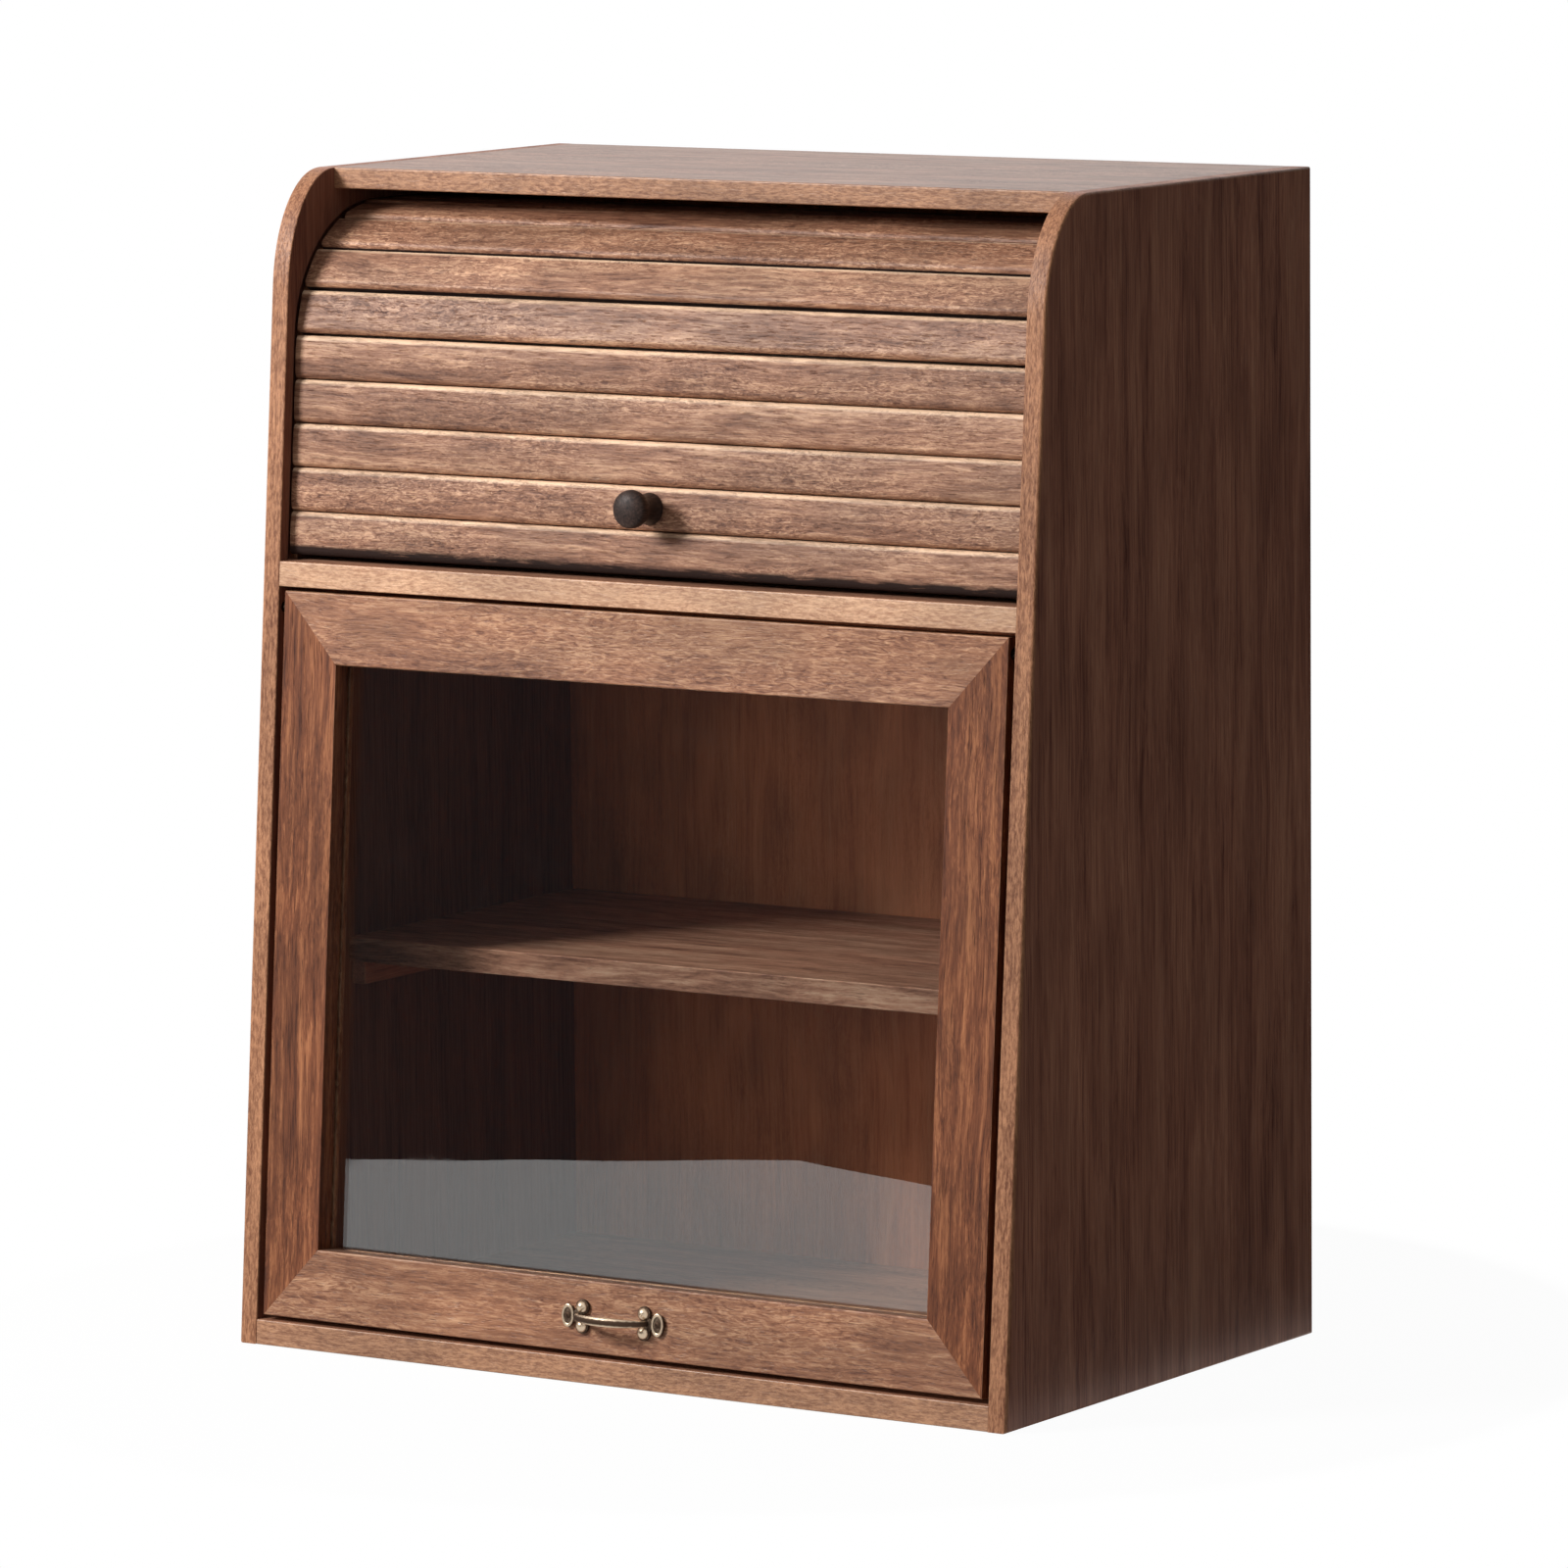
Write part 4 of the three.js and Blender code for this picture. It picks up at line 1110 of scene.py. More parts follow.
# Outline of the front card, as metres to the right and up. Its foot is what the pane shows as a
# level line with a slope at its right end
FRONT_CARD = [
    (-2.4, -0.0001), (-0.1251, 0.0006), (-0.0872, 0.0035), (0.0541, 0.014), (0.2136, 0.0259),
    (0.3237, 0.0132), (0.3602, 0.009), (2.4, -0.0001), (2.4, 0.95), (-2.4, 0.95),
]
# Outline of the far card behind the main lamp
FAR_CARD = [(-4.0, 0.1), (4.0, 0.1), (4.0, 4.0), (-4.0, 4.0)]
# Outline of the side card, as metres towards the back and up
SIDE_CARD = [(-0.16, 0.0005), (1.2, 0.0005), (1.2, 0.9), (-0.16, 0.9)]


def dark_cards():
    """Cards that keep the pane's upper part and the side panel free of pale reflections."""
    stage = settings("stage")
    material, _, shader = new_material("dark_card", emission_strength=1.0, specular_ior_level=0.0)
    shader.inputs["Base Color"].default_value = (0.0, 0.0, 0.0, 1.0)
    shader.inputs["Emission Color"].default_value = (*stage.card_tone, 1.0)
    away = Vector((math.sin(stage.front_card_azimuth), -math.cos(stage.front_card_azimuth), 0.0))
    right = Vector((-away.y, away.x, 0.0))
    cards = (
        ("front_card", stage.front_card_distance, FRONT_CARD),
        ("far_card", stage.far_card_distance, FAR_CARD),
    )
    for name, distance, outline in cards:
        corners = [away * distance + right * across + Vector((0, 0, up)) for across, up in outline]
        gloss_only(sheet_of(name, corners, material))
    corners = [Vector((stage.side_card_distance, along, up)) for along, up in SIDE_CARD]
    gloss_only(sheet_of("side_card", corners, material))


class CABINET_OT_stage(bpy.types.Operator):
    """Set up the camera, the lamps, the floor and the cards"""

    bl_idname = "cabinet.stage"
    bl_label = "Stage"

    def execute(self, context):
        stage = settings("stage")
        photo_camera()
        set_lamps()
        plain_world()
        reach = stage.floor_reach
        low = -stage.floor_drop
        corners = [(-reach, -reach, low), (reach, -reach, low), (reach, reach, low), (-reach, reach, low)]
        sheet_of("floor", corners, floor_finish("pale_floor"))
        dark_cards()
        context.scene.view_settings.view_transform = "Standard"
        return {"FINISHED"}


# The pieces
def along_x(edge):
    """Whether an edge runs across the cabinet's width."""
    return abs(edge_direction(edge).x) > SAME_DIRECTION


def outline_at(face):
    """A test for the edges that lie in the upright plane of one face."""
    return lambda edge: all(abs(v.co.x - face) < SAME_PLANE for v in edge.verts)


class CABINET_OT_case(bpy.types.Operator):
    """Finish the side panels, boards, back, shelf and cleats"""

    bl_idname = "cabinet.case"
    bl_label = "Case"

    def execute(self, context):
        case = settings("case")
        wood = settings("wood")
        case_wood = walnut("walnut_case", wood.case)
        board_wood = walnut("walnut_boards", wood.boards)
        for node, outer_face in (("side_left", cad_low.x), ("side_right", cad_high.x)):
            inner_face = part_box(node)[1].x if outer_face < 0 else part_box(node)[0].x
            wooden_piece(
                node,
                case_wood,
                (0, 0, 1),
                outline_at(inner_face),
                case.arris,
                lipped=True,
                outer=outline_at(outer_face),
                # Painted shade on the inner face, which lies in shade in the recess beside the tambour
                painted_shade_side=Vector((-1 if outer_face > 0 else 1, 0, 0)),
            )
        for node in ("top_board", "bottom_board"):
            wooden_piece(node, board_wood, (1, 0, 0), along_x, case.arris, lipped=True)
        pale_wood = walnut("walnut_middle_board", wood.middle_board)
        wooden_piece("middle_board", pale_wood, (1, 0, 0), along_x, case.arris, lipped=True)
        front = Vector((0, -1, 0))
        shelf_wood = walnut("walnut_shelf", wood.shelf)
        # Painted shade on the shelf's front edge
        wooden_piece("shelf", shelf_wood, (1, 0, 0), along_x, case.arris, painted_shade_side=front)
        for node in ("shelf_cleat_left", "shelf_cleat_right"):
            wooden_piece(node, case_wood, (0, 1, 0), lambda edge: True, case.arris)

        def thin_back(shape):
            back = max(v.co.y for v in shape.verts)
            for v in shape.verts:
                if back - v.co.y < case.arris:
                    v.co.y -= case.back_inset

        back_wood = walnut("walnut_back", wood.back)
        wooden_piece("back_panel", back_wood, (0, 0, 1), lambda edge: True, case.arris, change=thin_back)
        return {"FINISHED"}


def across_slat(chord):
    """The direction from a slat's front to its back."""
    return Vector((0.0, chord.z, -chord.y)).normalized()


def reach_along(node, direction, start):
    """How far a node reaches along a direction, as its nearest and furthest distance from a place."""
    distances = [(v.co - start).dot(direction) for v in frame["nodes"][node].data.vertices]
    return min(distances), max(distances)


def slat_frames():
    """Each slat's lower bending line and its chord, from the places of the joints."""
    lines = [HINGE_PLACE[f"tambour_bend_{number:02d}"] for number in range(1, len(SLATS) - 1)]
    pitch = lines[1] - lines[0]
    low, high = reach_along(SLATS[0], pitch.normalized(), lines[0])
    lead = pitch.normalized() * (high - low + settings("tambour").gap)
    places = [lines[0] - lead, *lines]
    chords = [after - before for before, after in zip(places, places[1:])]
    while len(chords) < len(SLATS):
        places.append(places[-1] + Vector((0.0, pitch.length, 0.0)))
        chords.append(Vector((0.0, pitch.length, 0.0)))
    return list(zip(places, chords))


class CABINET_OT_tambour(bpy.types.Operator):
    """Make the slats of the tambour and the canvas behind them"""

    bl_idname = "cabinet.tambour"
    bl_label = "Tambour"

    def execute(self, context):
        tambour = settings("tambour")
        material = walnut("walnut_slats", settings("wood").slats)
        tree = slat_tree(material)
        frames = slat_frames()
        start, chord = frames[0]
        front, back = reach_along(SLATS[0], across_slat(chord), start)
        bodies = {}
        for index, node in enumerate(SLATS):
            bodies.setdefault(BODY_OF[node], []).append(index)
        for members in bodies.values():
            start, chord = frames[members[0]]
            nodes = [SLATS[index] for index in members]
            low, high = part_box(nodes[0])
            values = {
                "Length": high.x - low.x,
                "Height": chord.length,
                "Thickness": back - front,
                "Back": back,
                "Gap": tambour.gap,
                "Ease": tambour.ease,
                "Back Ease": tambour.back_ease,
                "Crown": tambour.crown,
                # Only the lowest slat gets painted shade at its foot
                "Painted Foot Shade": 0.0 if members[0] else tambour.painted_foot_shade,
                "Wander": tambour.wander,
                "Count": len(members),
                "Start": start,
                "Tilt": -math.atan2(chord.y, chord.z),
                "Shift": grain_seed(nodes[0]),
            }
            name = f"{nodes[0]}_wood"
            piece = place_piece(name, grown_mesh(name, tree, values), material, nodes)
            even_normals(piece)
            self.add_canvas(piece, frames, members)
        return {"FINISHED"}

    def add_canvas(self, slats, frames, members):
        """The strip of canvas that is stretched behind the slats of one body."""
        tambour = settings("tambour")
        nodes = [CANVASES[index] for index in members]
        start, chord = frames[members[0]]
        up = chord.normalized()
        front, back = reach_along(nodes[0], across_slat(chord), start)
        low, high = reach_along(nodes[0], up, start)[0], reach_along(nodes[-1], up, start)[1]
        left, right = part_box(nodes[0])[0].x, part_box(nodes[0])[1].x
        shape = bmesh.new()
        bmesh.ops.create_cube(shape)
        for v in shape.verts:
            across = Vector((left if v.co.x < 0 else right, 0, 0))
            height = low if v.co.z < 0 else high
            depth = front if v.co.y < 0 else back
            v.co = across + start + up * height + across_slat(chord) * depth
        long = [edge for edge in shape.edges if along_x(edge)]
        bmesh.ops.bevel(
            shape, geom=long, offset=tambour.canvas_ease, segments=2, affect="EDGES", profile=0.5
        )
        long = [edge for edge in shape.edges if along_x(edge)]
        bmesh.ops.subdivide_edges(shape, edges=long, cuts=tambour.canvas_steps, use_grid_fill=True)
        bmesh.ops.recalc_face_normals(shape, faces=shape.faces)
        name = f"{nodes[0]}_cloth"
        mesh = mesh_of(name, shape, smooth=False)
        set_grain(mesh, "canvas", (1, 0, 0))
        cloth = bpy.data.materials.get("canvas") or weave_cloth("canvas")
        piece = place_piece(name, mesh, cloth, nodes)


# The knob's profile from its foot to its tip, as shares of its radius and of its height
KNOB_PROFILE_SHARES = [
    (0.84, 0.0), (0.82, 0.05), (0.74, 0.16), (0.7, 0.3), (0.8, 0.47),
    (0.95, 0.63), (1.0, 0.75), (0.94, 0.87), (0.7, 0.95), (0.36, 0.99), (0.0, 1.0),
]


def smooth_line(points, steps):
    """A smooth line through the points, with so many steps between each pair."""
    line = []
    for index in range(len(points) - 1):
        before = points[max(index - 1, 0)]
        first, second = points[index], points[index + 1]
        after = points[min(index + 2, len(points) - 1)]
        for step in range(steps):
            t = step / steps
            line.append(tuple(
                0.5 * (2 * b + (c - a) * t + (2 * a - 5 * b + 4 * c - d) * t ** 2
                       + (3 * b - a - 3 * c + d) * t ** 3)
                for a, b, c, d in zip(before, first, second, after)
            ))
    line.append(points[-1])
    return line


class CABINET_OT_knob(bpy.types.Operator):
    """Turn the knob and finish its screw"""

    bl_idname = "cabinet.knob"
    bl_label = "Knob"

    def execute(self, context):
        knob = settings("knob")
        start, chord = slat_frames()[1]
        outward = -across_slat(chord)
        middle = start + chord / 2
        foot = reach_along(SLATS[1], outward, middle)[1] + knob.foot_gap
        tip = reach_along("knob", outward, middle)[1]
        low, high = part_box("knob")
        radius = (high.x - low.x) / 2
        spots = [(radius * r, (tip - foot) * along) for r, along in KNOB_PROFILE_SHARES]
        steps = max(knob.profile_steps // (len(spots) - 1), 1)
        line = [(0.0, 0.0), *smooth_line(spots, steps)]
        line = [(max(r, 0.0), along) for r, along in line]
        mesh = mesh_of("knob", lathe(line, knob.turns, outward, middle + outward * foot))
        mesh.set_sharp_from_angle(angle=SHARP_ANGLE)
        set_grain(mesh, "knob", outward)
        place_piece("knob_turned", mesh, stained_turning("dark_knob"), ["knob"])
        refinish("knob_screw", bpy.data.materials.get("steel") or brushed_steel("steel"))
        return {"FINISHED"}


DOOR_MEMBERS = {
    "door_stile_left": "stile",
    "door_stile_right": "stile",
    "door_rail_top": "rail",
    "door_rail_bottom": "rail",
}
BEADS = ("glass_bead_top", "glass_bead_bottom", "glass_bead_left", "glass_bead_right")


def door_upward():
    """The direction up the leaning door."""
    points = [v.co for v in frame["nodes"]["door_glass"].data.vertices]
    bottom = min(points, key=lambda p: (round(p.z, 5), p.y))
    top = min(points, key=lambda p: (-round(p.z - p.y, 5), p.y))
    rise = Vector((0.0, top.y - bottom.y, top.z - bottom.z))
    return rise.normalized()


class CABINET_OT_door(bpy.types.Operator):
    """Finish the door's mitred frame, its glass and the beads that hold it"""

    bl_idname = "cabinet.door"
    bl_label = "Door"

    def execute(self, context):
        door = settings("door")
        wood = settings("wood")
        rail_wood = walnut("walnut_rails", wood.rails)
        stile_wood = walnut("walnut_stiles", wood.stiles)
        up = door_upward()
        closing = door.mitre_gap - door.mitre_line

        def close_mitres(shape):
            middle = sum(v.co.z for v in shape.verts) / len(shape.verts)
            for v in shape.verts:
                v.co += up * (closing if v.co.z > middle else -closing)

        for node, kind in DOOR_MEMBERS.items():
            if kind == "stile":
                wooden_piece(node, stile_wood, up, along_door(up), door.arris, change=close_mitres)
            else:
                # Painted shade on the rail faces that look into the glazed opening, where the pane's edge
                # lies in shade
                painted_shade_side = up if node.endswith("bottom") else -up
                wooden_piece(node, rail_wood, (1, 0, 0), along_x, door.arris, painted_shade_side=painted_shade_side)
        for node in BEADS:
            upright = node.endswith(("left", "right"))
            direction = up if upright else (1, 0, 0)
            wooden_piece(node, rail_wood, direction, along_door(direction), settings("case").arris)
        self.add_glass()
        return {"FINISHED"}

    def add_glass(self):
        """The pane, with ground edges."""
        door = settings("door")
        shape = merged_copy("door_glass")
        bmesh.ops.bevel(shape, geom=shape.edges[:], offset=door.glass_arris, segments=1, affect="EDGES")
        mesh = mesh_of("door_glass", shape, smooth=False)
        place_piece("door_pane", mesh, window_glass("glass"), ["door_glass"])


def along_door(direction):
    """A test for the edges that run in one direction of the door."""
    direction = Vector(direction).normalized()
    return lambda edge: abs(edge_direction(edge).dot(direction)) > SAME_DIRECTION


# The handle
def rosette_outline(radius_change):
    """The three-lobed outline of a plate, grown or shrunk."""
    handle = settings("handle")
    points = []
    radius = handle.lobe_radius + radius_change
    reach = handle.lobe_distance
    # Two neighbouring lobes cross where their circles meet between them
    between = math.pi / 3
    cross = reach * math.cos(between) + math.sqrt(max(radius ** 2 - (reach * math.sin(between)) ** 2, 0.0))
    x = cross * math.cos(between) - reach
    y = cross * math.sin(between)
    span = math.atan2(y, x)
    steps = handle.steps // 2
    for lobe in range(3):
        turn = math.tau * lobe / 3
        for step in range(steps):
            swing = turn - span + 2 * span * step / steps
            points.append(Vector((
                reach * math.cos(turn) + radius * math.cos(swing),
                reach * math.sin(turn) + radius * math.sin(swing),
            )))
    return points


def plate_shape():
    """A lobed plate with a rounded rim, its back at height 0."""
    handle = settings("handle")
    steps = handle.plate_ease_steps
    shape = bmesh.new()
    levels = [(0.0, 0.0), (0.0, handle.plate - handle.plate_ease)]
    for step in range(1, steps + 1):
        swing = math.pi / 2 * step / steps
        levels.append((
            handle.plate_ease * (math.cos(swing) - 1),
            handle.plate - handle.plate_ease * (1 - math.sin(swing)),
        ))
    rings = []
    for change, height in levels:
        rings.append([shape.verts.new((p.x, p.y, height)) for p in rosette_outline(change)])
    for lower, upper in zip(rings, rings[1:]):
        for index in range(len(lower)):
            following = (index + 1) % len(lower)
            shape.faces.new((lower[index], lower[following], upper[following], upper[index]))
    shape.faces.new(list(reversed(rings[0])))
    shape.faces.new(rings[-1])
    bmesh.ops.recalc_face_normals(shape, faces=shape.faces)
    return shape


def dome_profile(radius, height, steps):
    """A dome from its rim to its top."""
    points = []
    for step in range(steps + 1):
        swing = math.pi / 2 * step / steps
        points.append((radius * math.cos(swing), height * math.sin(swing)))
    points[-1] = (0.0, height)
    return points


def ring_profile(radius, section, steps):
    """The closed round section of a ring."""
    return [
        (radius + section * math.cos(math.tau * step / steps), section * math.sin(math.tau * step / steps))
        for step in range(steps + 1)
    ]


def rosette_shape():
    """A plate with two domes and an oval loop round its screw, facing up."""
    handle = settings("handle")
    whole = plate_shape()
    sunk = handle.plate - handle.plate_ease / 2
    for lobe in range(3):
        turn = math.tau * lobe / 3
        reach = handle.lobe_distance
        centre = Vector((reach * math.cos(turn), reach * math.sin(turn), sunk))
        if lobe:
            dome = dome_profile(handle.dome_radius, handle.dome_height, handle.steps // 4)
            join_shapes(whole, lathe([(0.0, 0.0), *dome], handle.steps, (0, 0, 1), centre))
        else:
            profile = ring_profile(handle.ring_radius, handle.ring_section, handle.steps // 2)
            centre.z = handle.plate
            ring = lathe(profile, handle.steps, (0, 0, 1), centre)
            for v in ring.verts:
                v.co.y *= handle.ring_stretch
            bmesh.ops.remove_doubles(ring, verts=ring.verts, dist=SMALLEST)
            bmesh.ops.recalc_face_normals(ring, faces=ring.faces)
            join_shapes(whole, ring)
    return whole


def bow_shape(half, rise):
    """The bow as a flattened rod over a half oval, wider in its middle."""
    handle = settings("handle")
    shape = bmesh.new()
    steps = 2 * handle.steps
    sides = handle.steps // 2
    rings = []
    for step in range(steps + 1):
        turn = math.pi * step / steps
        centre = Vector((-half * math.cos(turn), 0.0, rise * math.sin(turn)))
        out = Vector((-rise * math.cos(turn), 0.0, half * math.sin(turn))).normalized()
        grow = math.sin(turn) ** 2
        width = handle.bow_foot_width + (handle.bow_width - handle.bow_foot_width) * grow
        ring = []
        for side in range(sides):
            swing = math.tau * side / sides
            ring.append(shape.verts.new(
                centre + out * (handle.bow_thickness / 2 * math.cos(swing))
                + Vector((0, 1, 0)) * (width / 2 * math.sin(swing))
            ))
        rings.append(ring)
    for lower, upper in zip(rings, rings[1:]):
        for index in range(sides):
            following = (index + 1) % sides
            shape.faces.new((lower[index], lower[following], upper[following], upper[index]))
    shape.faces.new(list(reversed(rings[0])))
    shape.faces.new(rings[-1])
    bmesh.ops.recalc_face_normals(shape, faces=shape.faces)
    return shape


def door_matrix(origin):
    """Turns a shape that faces up so that it faces out of the door: its X stays, its Z points forward."""
    up = door_upward()
    out = Vector((-1, 0, 0)).cross(up).normalized()
    if out.y > 0:
        out = -out
    side = Vector((1, 0, 0))
    third = out.cross(side)
    turn = Matrix((side, third, out)).transposed().to_4x4()
    return Matrix.Translation(origin) @ turn


def box_on_door(node):
    """The least and greatest place of a node in the door's directions: right, up and out."""
    inverse = door_matrix(Vector((0, 0, 0))).inverted()
    places = [inverse @ v.co for v in frame["nodes"][node].data.vertices]
    low = Vector([min(p[axis] for p in places) for axis in range(3)])
    high = Vector([max(p[axis] for p in places) for axis in range(3)])
    return low, high


def polish_by_height(mesh, matrix, low, high):
    """Stores how worn each vertex is: the further it stands out, the brighter."""
    inverse = matrix.inverted()
    heights = [(inverse @ v.co).z for v in mesh.vertices]
    set_points(mesh, "polish_and_highlight", "FLOAT", [ranged_share(h, low, high) for h in heights])


class CABINET_OT_handle(bpy.types.Operator):
    """Cast the handle's rosettes and bow and drive its screws"""

    bl_idname = "cabinet.handle"
    bl_label = "Handle"

    def execute(self, context):
        handle = settings("handle")
        fasteners = settings("fasteners")
        brass = aged_brass("antique_brass")
        for side in ("left", "right"):
            node = f"handle_rosette_{side}"
            matrix = self.seat(node, side)
            shape = rosette_shape()
            if side == "left":
                bmesh.ops.rotate(shape, verts=shape.verts, matrix=Matrix.Rotation(math.pi, 3, "Z"))
            mesh = mesh_of(node, shape)
            mesh.transform(matrix)
            bright = handle.plate + handle.dome_height * handle.dome_bright
            polish_by_height(mesh, matrix, handle.plate * handle.plate_dull, bright)
            even_normals(place_piece(f"{node}_brass", mesh, brass, [node]))
            lobe = handle.lobe_distance * (-1 if side == "left" else 1)
            place = matrix @ Vector((lobe, 0.0, handle.plate))
            up = door_upward()
            tilt = math.pi / 2 - math.atan2(up.y, up.z)
            sizes = (handle.screw_head, handle.screw_rise, fasteners.slot_width)
            add_heads(f"handle_screw_{side}", node, [place], brass, tilt, *sizes)
        self.add_bow(brass)
        return {"FINISHED"}

    def seat(self, node, side):
        """Seats a rosette on the face of the door, with its outer lobe where the frame has it."""
        handle = settings("handle")
        low, high = box_on_door(node)
        outer = handle.lobe_distance + handle.lobe_radius
        x = low.x + outer if side == "left" else high.x - outer
        middle = Vector((x, (low.y + high.y) / 2, low.z))
        return door_matrix(door_matrix(Vector((0, 0, 0))) @ middle)

    def add_bow(self, brass):
        """The bow: bright along its two sides, partly as worn brass and partly as painted highlights, and
        dull along its middle as a painted dark reflection.
        """
        handle = settings("handle")
        node = "handle_bow"
        low, high = box_on_door(node)
        half = (high.x - low.x) / 2 - handle.bow_thickness / 2
        rise = high.z - low.z - handle.bow_thickness / 2 - handle.clearance
        middle = Vector(((low.x + high.x) / 2, (low.y + high.y) / 2, low.z))
        placed = door_matrix(door_matrix(Vector((0, 0, 0))) @ middle)
        mesh = mesh_of(node, bow_shape(half, rise))
        mesh.transform(placed)
        spread = handle.bow_width / 2
        back = placed.inverted()
        from_middle = [abs((back @ v.co).y) for v in mesh.vertices]
        worn_and_highlit = [ranged_share(d, handle.bow_dull * spread, spread) for d in from_middle]
        set_points(mesh, "polish_and_highlight", "FLOAT", worn_and_highlit)
        place_piece("handle_bow_brass", mesh, brass, [node])


class CABINET_OT_fittings(bpy.types.Operator):
    """Finish the pivots, the catch and its strike, and add brads and screws"""

    bl_idname = "cabinet.fittings"
    bl_label = "Fittings"

    def execute(self, context):
        steel = bpy.data.materials.get("steel") or brushed_steel("steel")
        refinish("catch_strike", steel)
        browned = brushed_steel("browned_steel", srgb(34, 26, 22), srgb(66, 52, 44))
        for node in ("door_pivot_left", "door_pivot_right"):
            refinish(node, browned)
        refinish("catch_magnet", moulded_plastic("brown_plastic"))
        self.add_brads(steel)
        self.add_catch_screws(steel)
        return {"FINISHED"}

    def add_brads(self, steel):
        """Brads round the edge of the back panel."""
        fasteners = settings("fasteners")
        low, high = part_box("back_panel")
        left, right = low.x + fasteners.brad_inset, high.x - fasteners.brad_inset
        bottom, top = low.z + fasteners.brad_inset, high.z - fasteners.brad_inset
        back = high.y - settings("case").back_inset
        places = []
        for index in range(fasteners.brads_across):
            x = left + (right - left) * index / (fasteners.brads_across - 1)
            places += [(x, back, bottom), (x, back, top)]
        for index in range(1, fasteners.brads_up - 1):
            z = bottom + (top - bottom) * index / (fasteners.brads_up - 1)
            places += [(left, back, z), (right, back, z)]
        sizes = (fasteners.brad_diameter, fasteners.brad_rise)
        add_heads("back_brads", "back_panel", places, steel, -math.pi / 2, *sizes)

    def add_catch_screws(self, steel):
        """Two screws down through the catch and two flush ones through its strike."""
        fasteners = settings("fasteners")
        low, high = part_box("catch_magnet")
        middle = (low.y + high.y) / 2
        reach = (high.x - low.x) / 3
        places = [(side * reach, middle, high.z) for side in (-1, 1)]
        sizes = (fasteners.screw_diameter, fasteners.screw_rise, fasteners.slot_width)
        add_heads("catch_screws", "catch_magnet", places, steel, 0.0, *sizes)

        up = door_upward()
        inward = Vector((0.0, up.z, -up.y))
        back = reach_along("catch_strike", inward, Vector((0, 0, 0)))[1]
        low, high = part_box("catch_strike")
        centre = (low + high) / 2
        centre += inward * (back - centre.dot(inward))
        reach = (high.x - low.x) / 3
        places = [centre + Vector((side * reach, 0.0, 0.0)) for side in (-1, 1)]
        tilt = -math.pi / 2 - math.atan2(up.y, up.z)
        sizes = (high.z - low.z) / 2, fasteners.flush_rise
        add_heads("strike_screws", "catch_strike", places, steel, tilt, *sizes)


def refinish(node, material):
    """Gives a node of the frame a better material in place of its own."""
    finishes = frame["nodes"][node].data.materials
    finishes.clear()
    finishes.append(material)


class CABINET_PT_sidebar(bpy.types.Panel):
    """Lists the cabinet's pieces"""

    bl_idname = "CABINET_PT_sidebar"
    bl_label = "Tea Cabinet"
    bl_space_type = "VIEW_3D"
    bl_region_type = "UI"
    bl_category = "Tea Cabinet"

    def draw(self, context):
        for operator in OPERATORS:
            self.layout.operator(operator.bl_idname)


OPERATORS = (
    CABINET_OT_stage,
    CABINET_OT_case,
    CABINET_OT_tambour,
    CABINET_OT_knob,
    CABINET_OT_door,
    CABINET_OT_handle,
    CABINET_OT_fittings,
)
CLASSES = (WoodTone, *SETTINGS.values(), *OPERATORS, CABINET_PT_sidebar)


def register():
    """Registers the classes and hangs their settings on the scene."""
    for entry in CLASSES:
        bpy.utils.register_class(entry)
    for name, group in SETTINGS.items():
        setattr(bpy.types.Scene, name, PointerProperty(type=group))


def unregister():
    """Takes everything back out."""
    for name in SETTINGS:
        delattr(bpy.types.Scene, name)
    for entry in reversed(CLASSES):
        bpy.utils.unregister_class(entry)


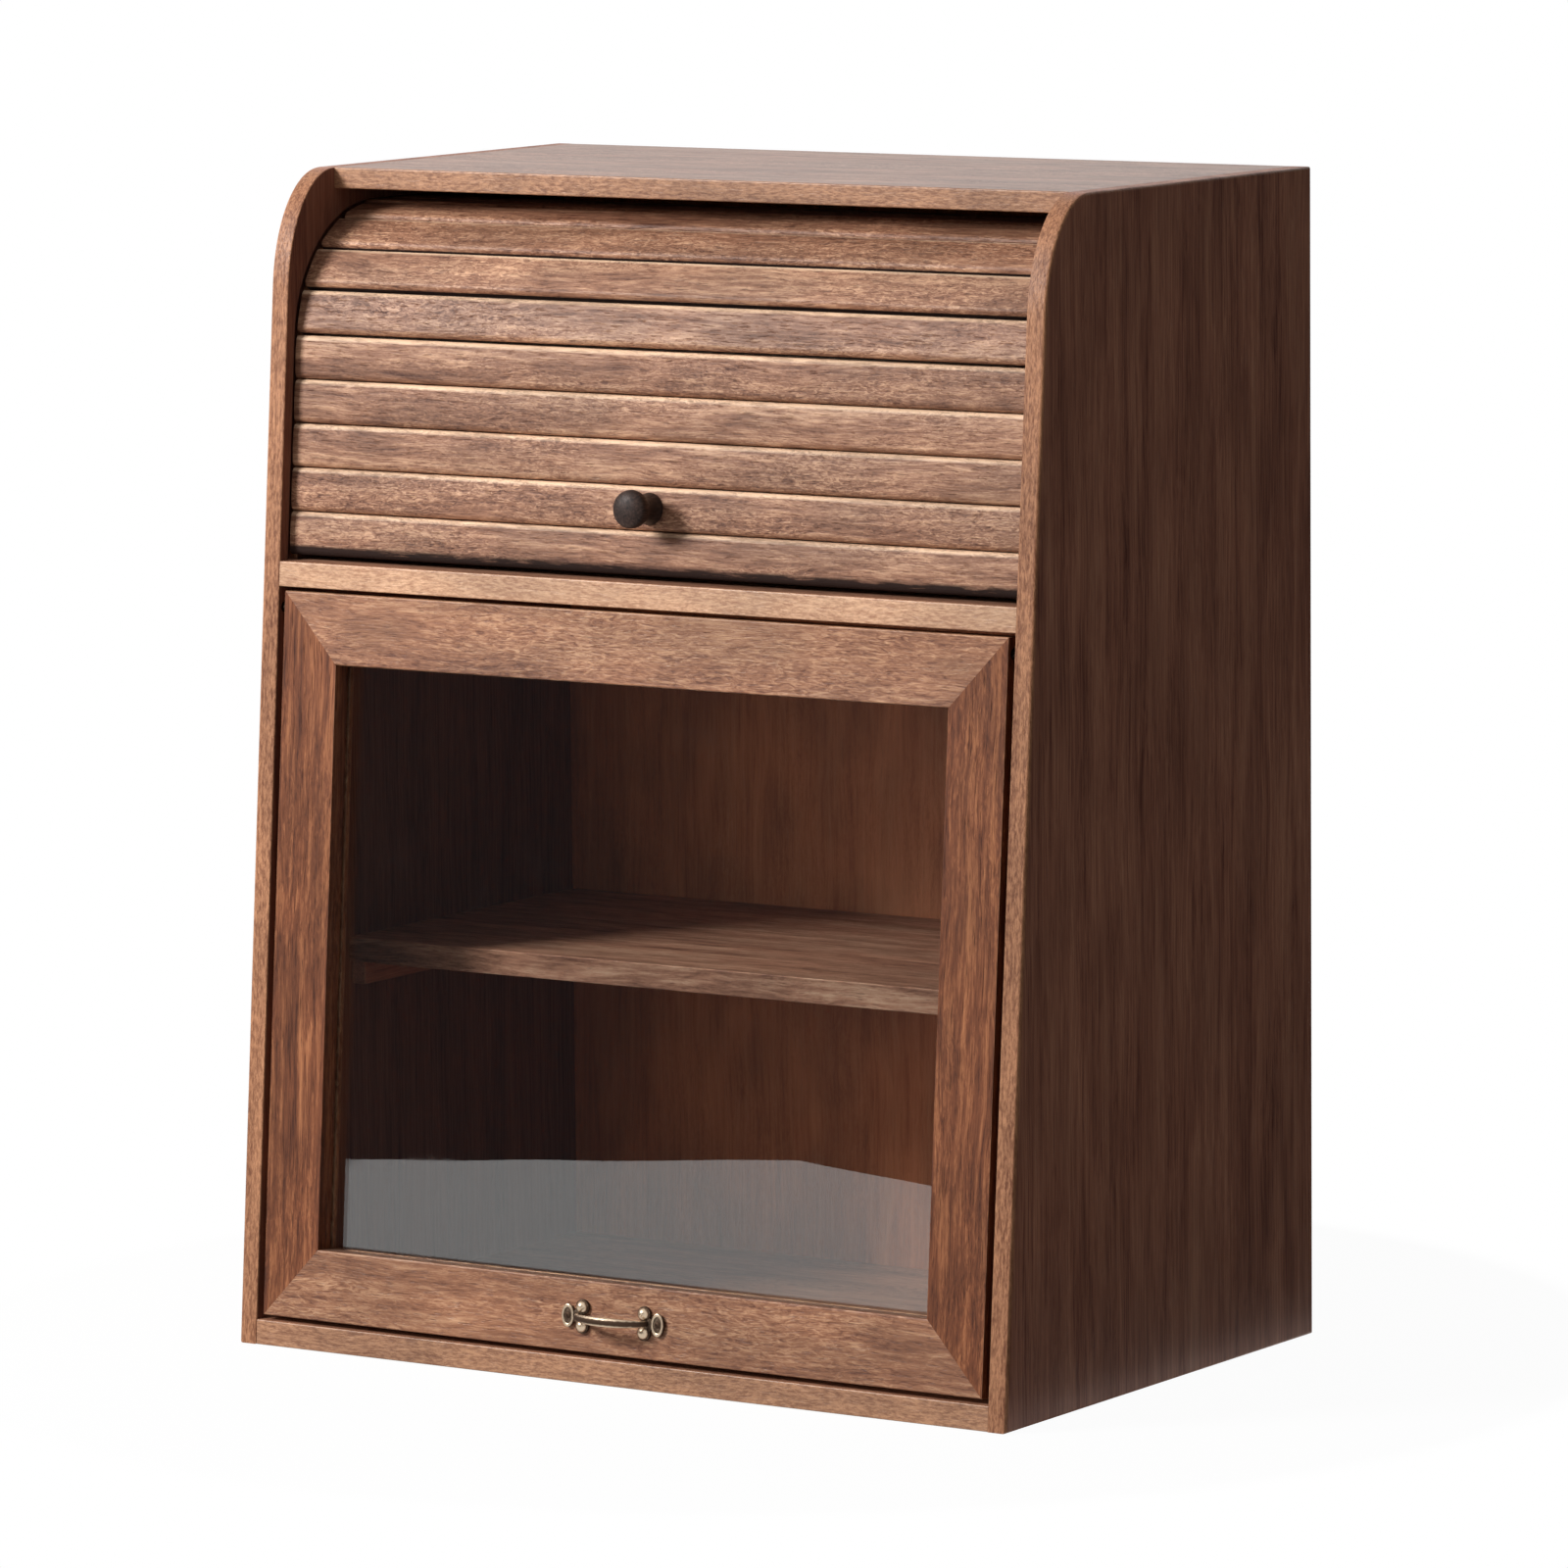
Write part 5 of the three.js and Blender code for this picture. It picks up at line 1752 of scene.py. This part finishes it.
# What sets each wood apart from plain walnut. Colours are given as 0 to 255 on a screen
BOARD_WOOD = {
    "deep": (104, 65, 47),
    "middle": (164, 115, 90),
    "pale": (202, 154, 124),
    "relief": 0.3,
    "sheen": 0.3,
    "pores": 0.35,
    "lip_deep": (118, 74, 50),
    "lip_pale": (198, 148, 112),
}
WOODS = {
    "slats": {
        "deep": (80, 44, 30),
        "middle": (152, 107, 82),
        "pale": (214, 168, 134),
        # On the slats, lip_pale only colours the wear and painted highlight on their upper edges
        "lip_pale": (244, 206, 172),
        "wear_and_highlight": 0.95,
        "roughness": 0.5,
        "gloss": 0.34,
        "relief": 0.7,
        "spread": 0.12,
        "curl": 0.34,
    },
    "rails": {
        "deep": (98, 55, 36),
        "middle": (158, 108, 79),
        "pale": (208, 160, 124),
        "relief": 0.6,
        "spread": 0.12,
        "fleck_length": 0.008,
        "fleck_width": 0.0018,
        "curl": 0.36,
    },
    "stiles": {
        "deep": (66, 32, 19),
        "middle": (122, 71, 46),
        "pale": (180, 118, 80),
        "gloss": 0.25,
        "relief": 0.6,
        "spread": 0.12,
        "fleck_length": 0.009,
        "fleck_width": 0.0018,
        "curl": 0.2,
        "streak_length": 0.04,
        "streak_width": 0.0019,
        "ring_width": 0.006,
        "pores": 0.85,
    },
    "shelf": {
        "deep": (104, 60, 45),
        "middle": (182, 127, 103),
        "pale": (226, 178, 150),
        "relief": 0.5,
        "spread": 0.12,
        "curl": 0.15,
        "wear_and_highlight": 0.1,
        # Painted shade on the shelf's front edge
        "shade": 0.3,
    },
    "case": {
        "deep": (120, 68, 52),
        "middle": (182, 120, 94),
        "pale": (214, 152, 120),
        "streak_length": 0.075,
        "streak_width": 0.0012,
        "fleck_length": 0.02,
        "fleck_width": 0.0018,
        "ring_length": 0.16,
        "ring_width": 0.011,
        "curl": 0.15,
        "spread": 0.125,
        "gloss": 0.3,
        "pores": 0.25,
        "patch": 0.07,
        # Painted shade on the side panels' inner faces
        "shade": 0.62,
        "lip_deep": (108, 62, 40),
        "lip_pale": (204, 146, 108),
    },
    "back": {
        "deep": (130, 70, 44),
        "middle": (196, 120, 80),
        "pale": (222, 150, 106),
        "streak_length": 0.05,
        "curl": 0.2,
        "spread": 0.2,
        "pores": 0.3,
    },
    "boards": BOARD_WOOD,
    "middle_board": {
        **BOARD_WOOD,
        "lip_deep": (160, 110, 80),
        "lip_pale": (230, 184, 146),
    },
}


def stain_woods():
    """Gives each wood the stain and figure of its own."""
    for kind, values in WOODS.items():
        tone = getattr(settings("wood"), kind)
        for key, value in values.items():
            setattr(tone, key, srgb(*value) if isinstance(value, tuple) else value)


def main():
    """Builds every piece."""
    register()
    stain_woods()
    bpy.ops.cabinet.stage()
    bpy.ops.cabinet.case()
    bpy.ops.cabinet.tambour()
    bpy.ops.cabinet.knob()
    bpy.ops.cabinet.door()
    bpy.ops.cabinet.handle()
    bpy.ops.cabinet.fittings()


if __name__ == "__main__":
    main()
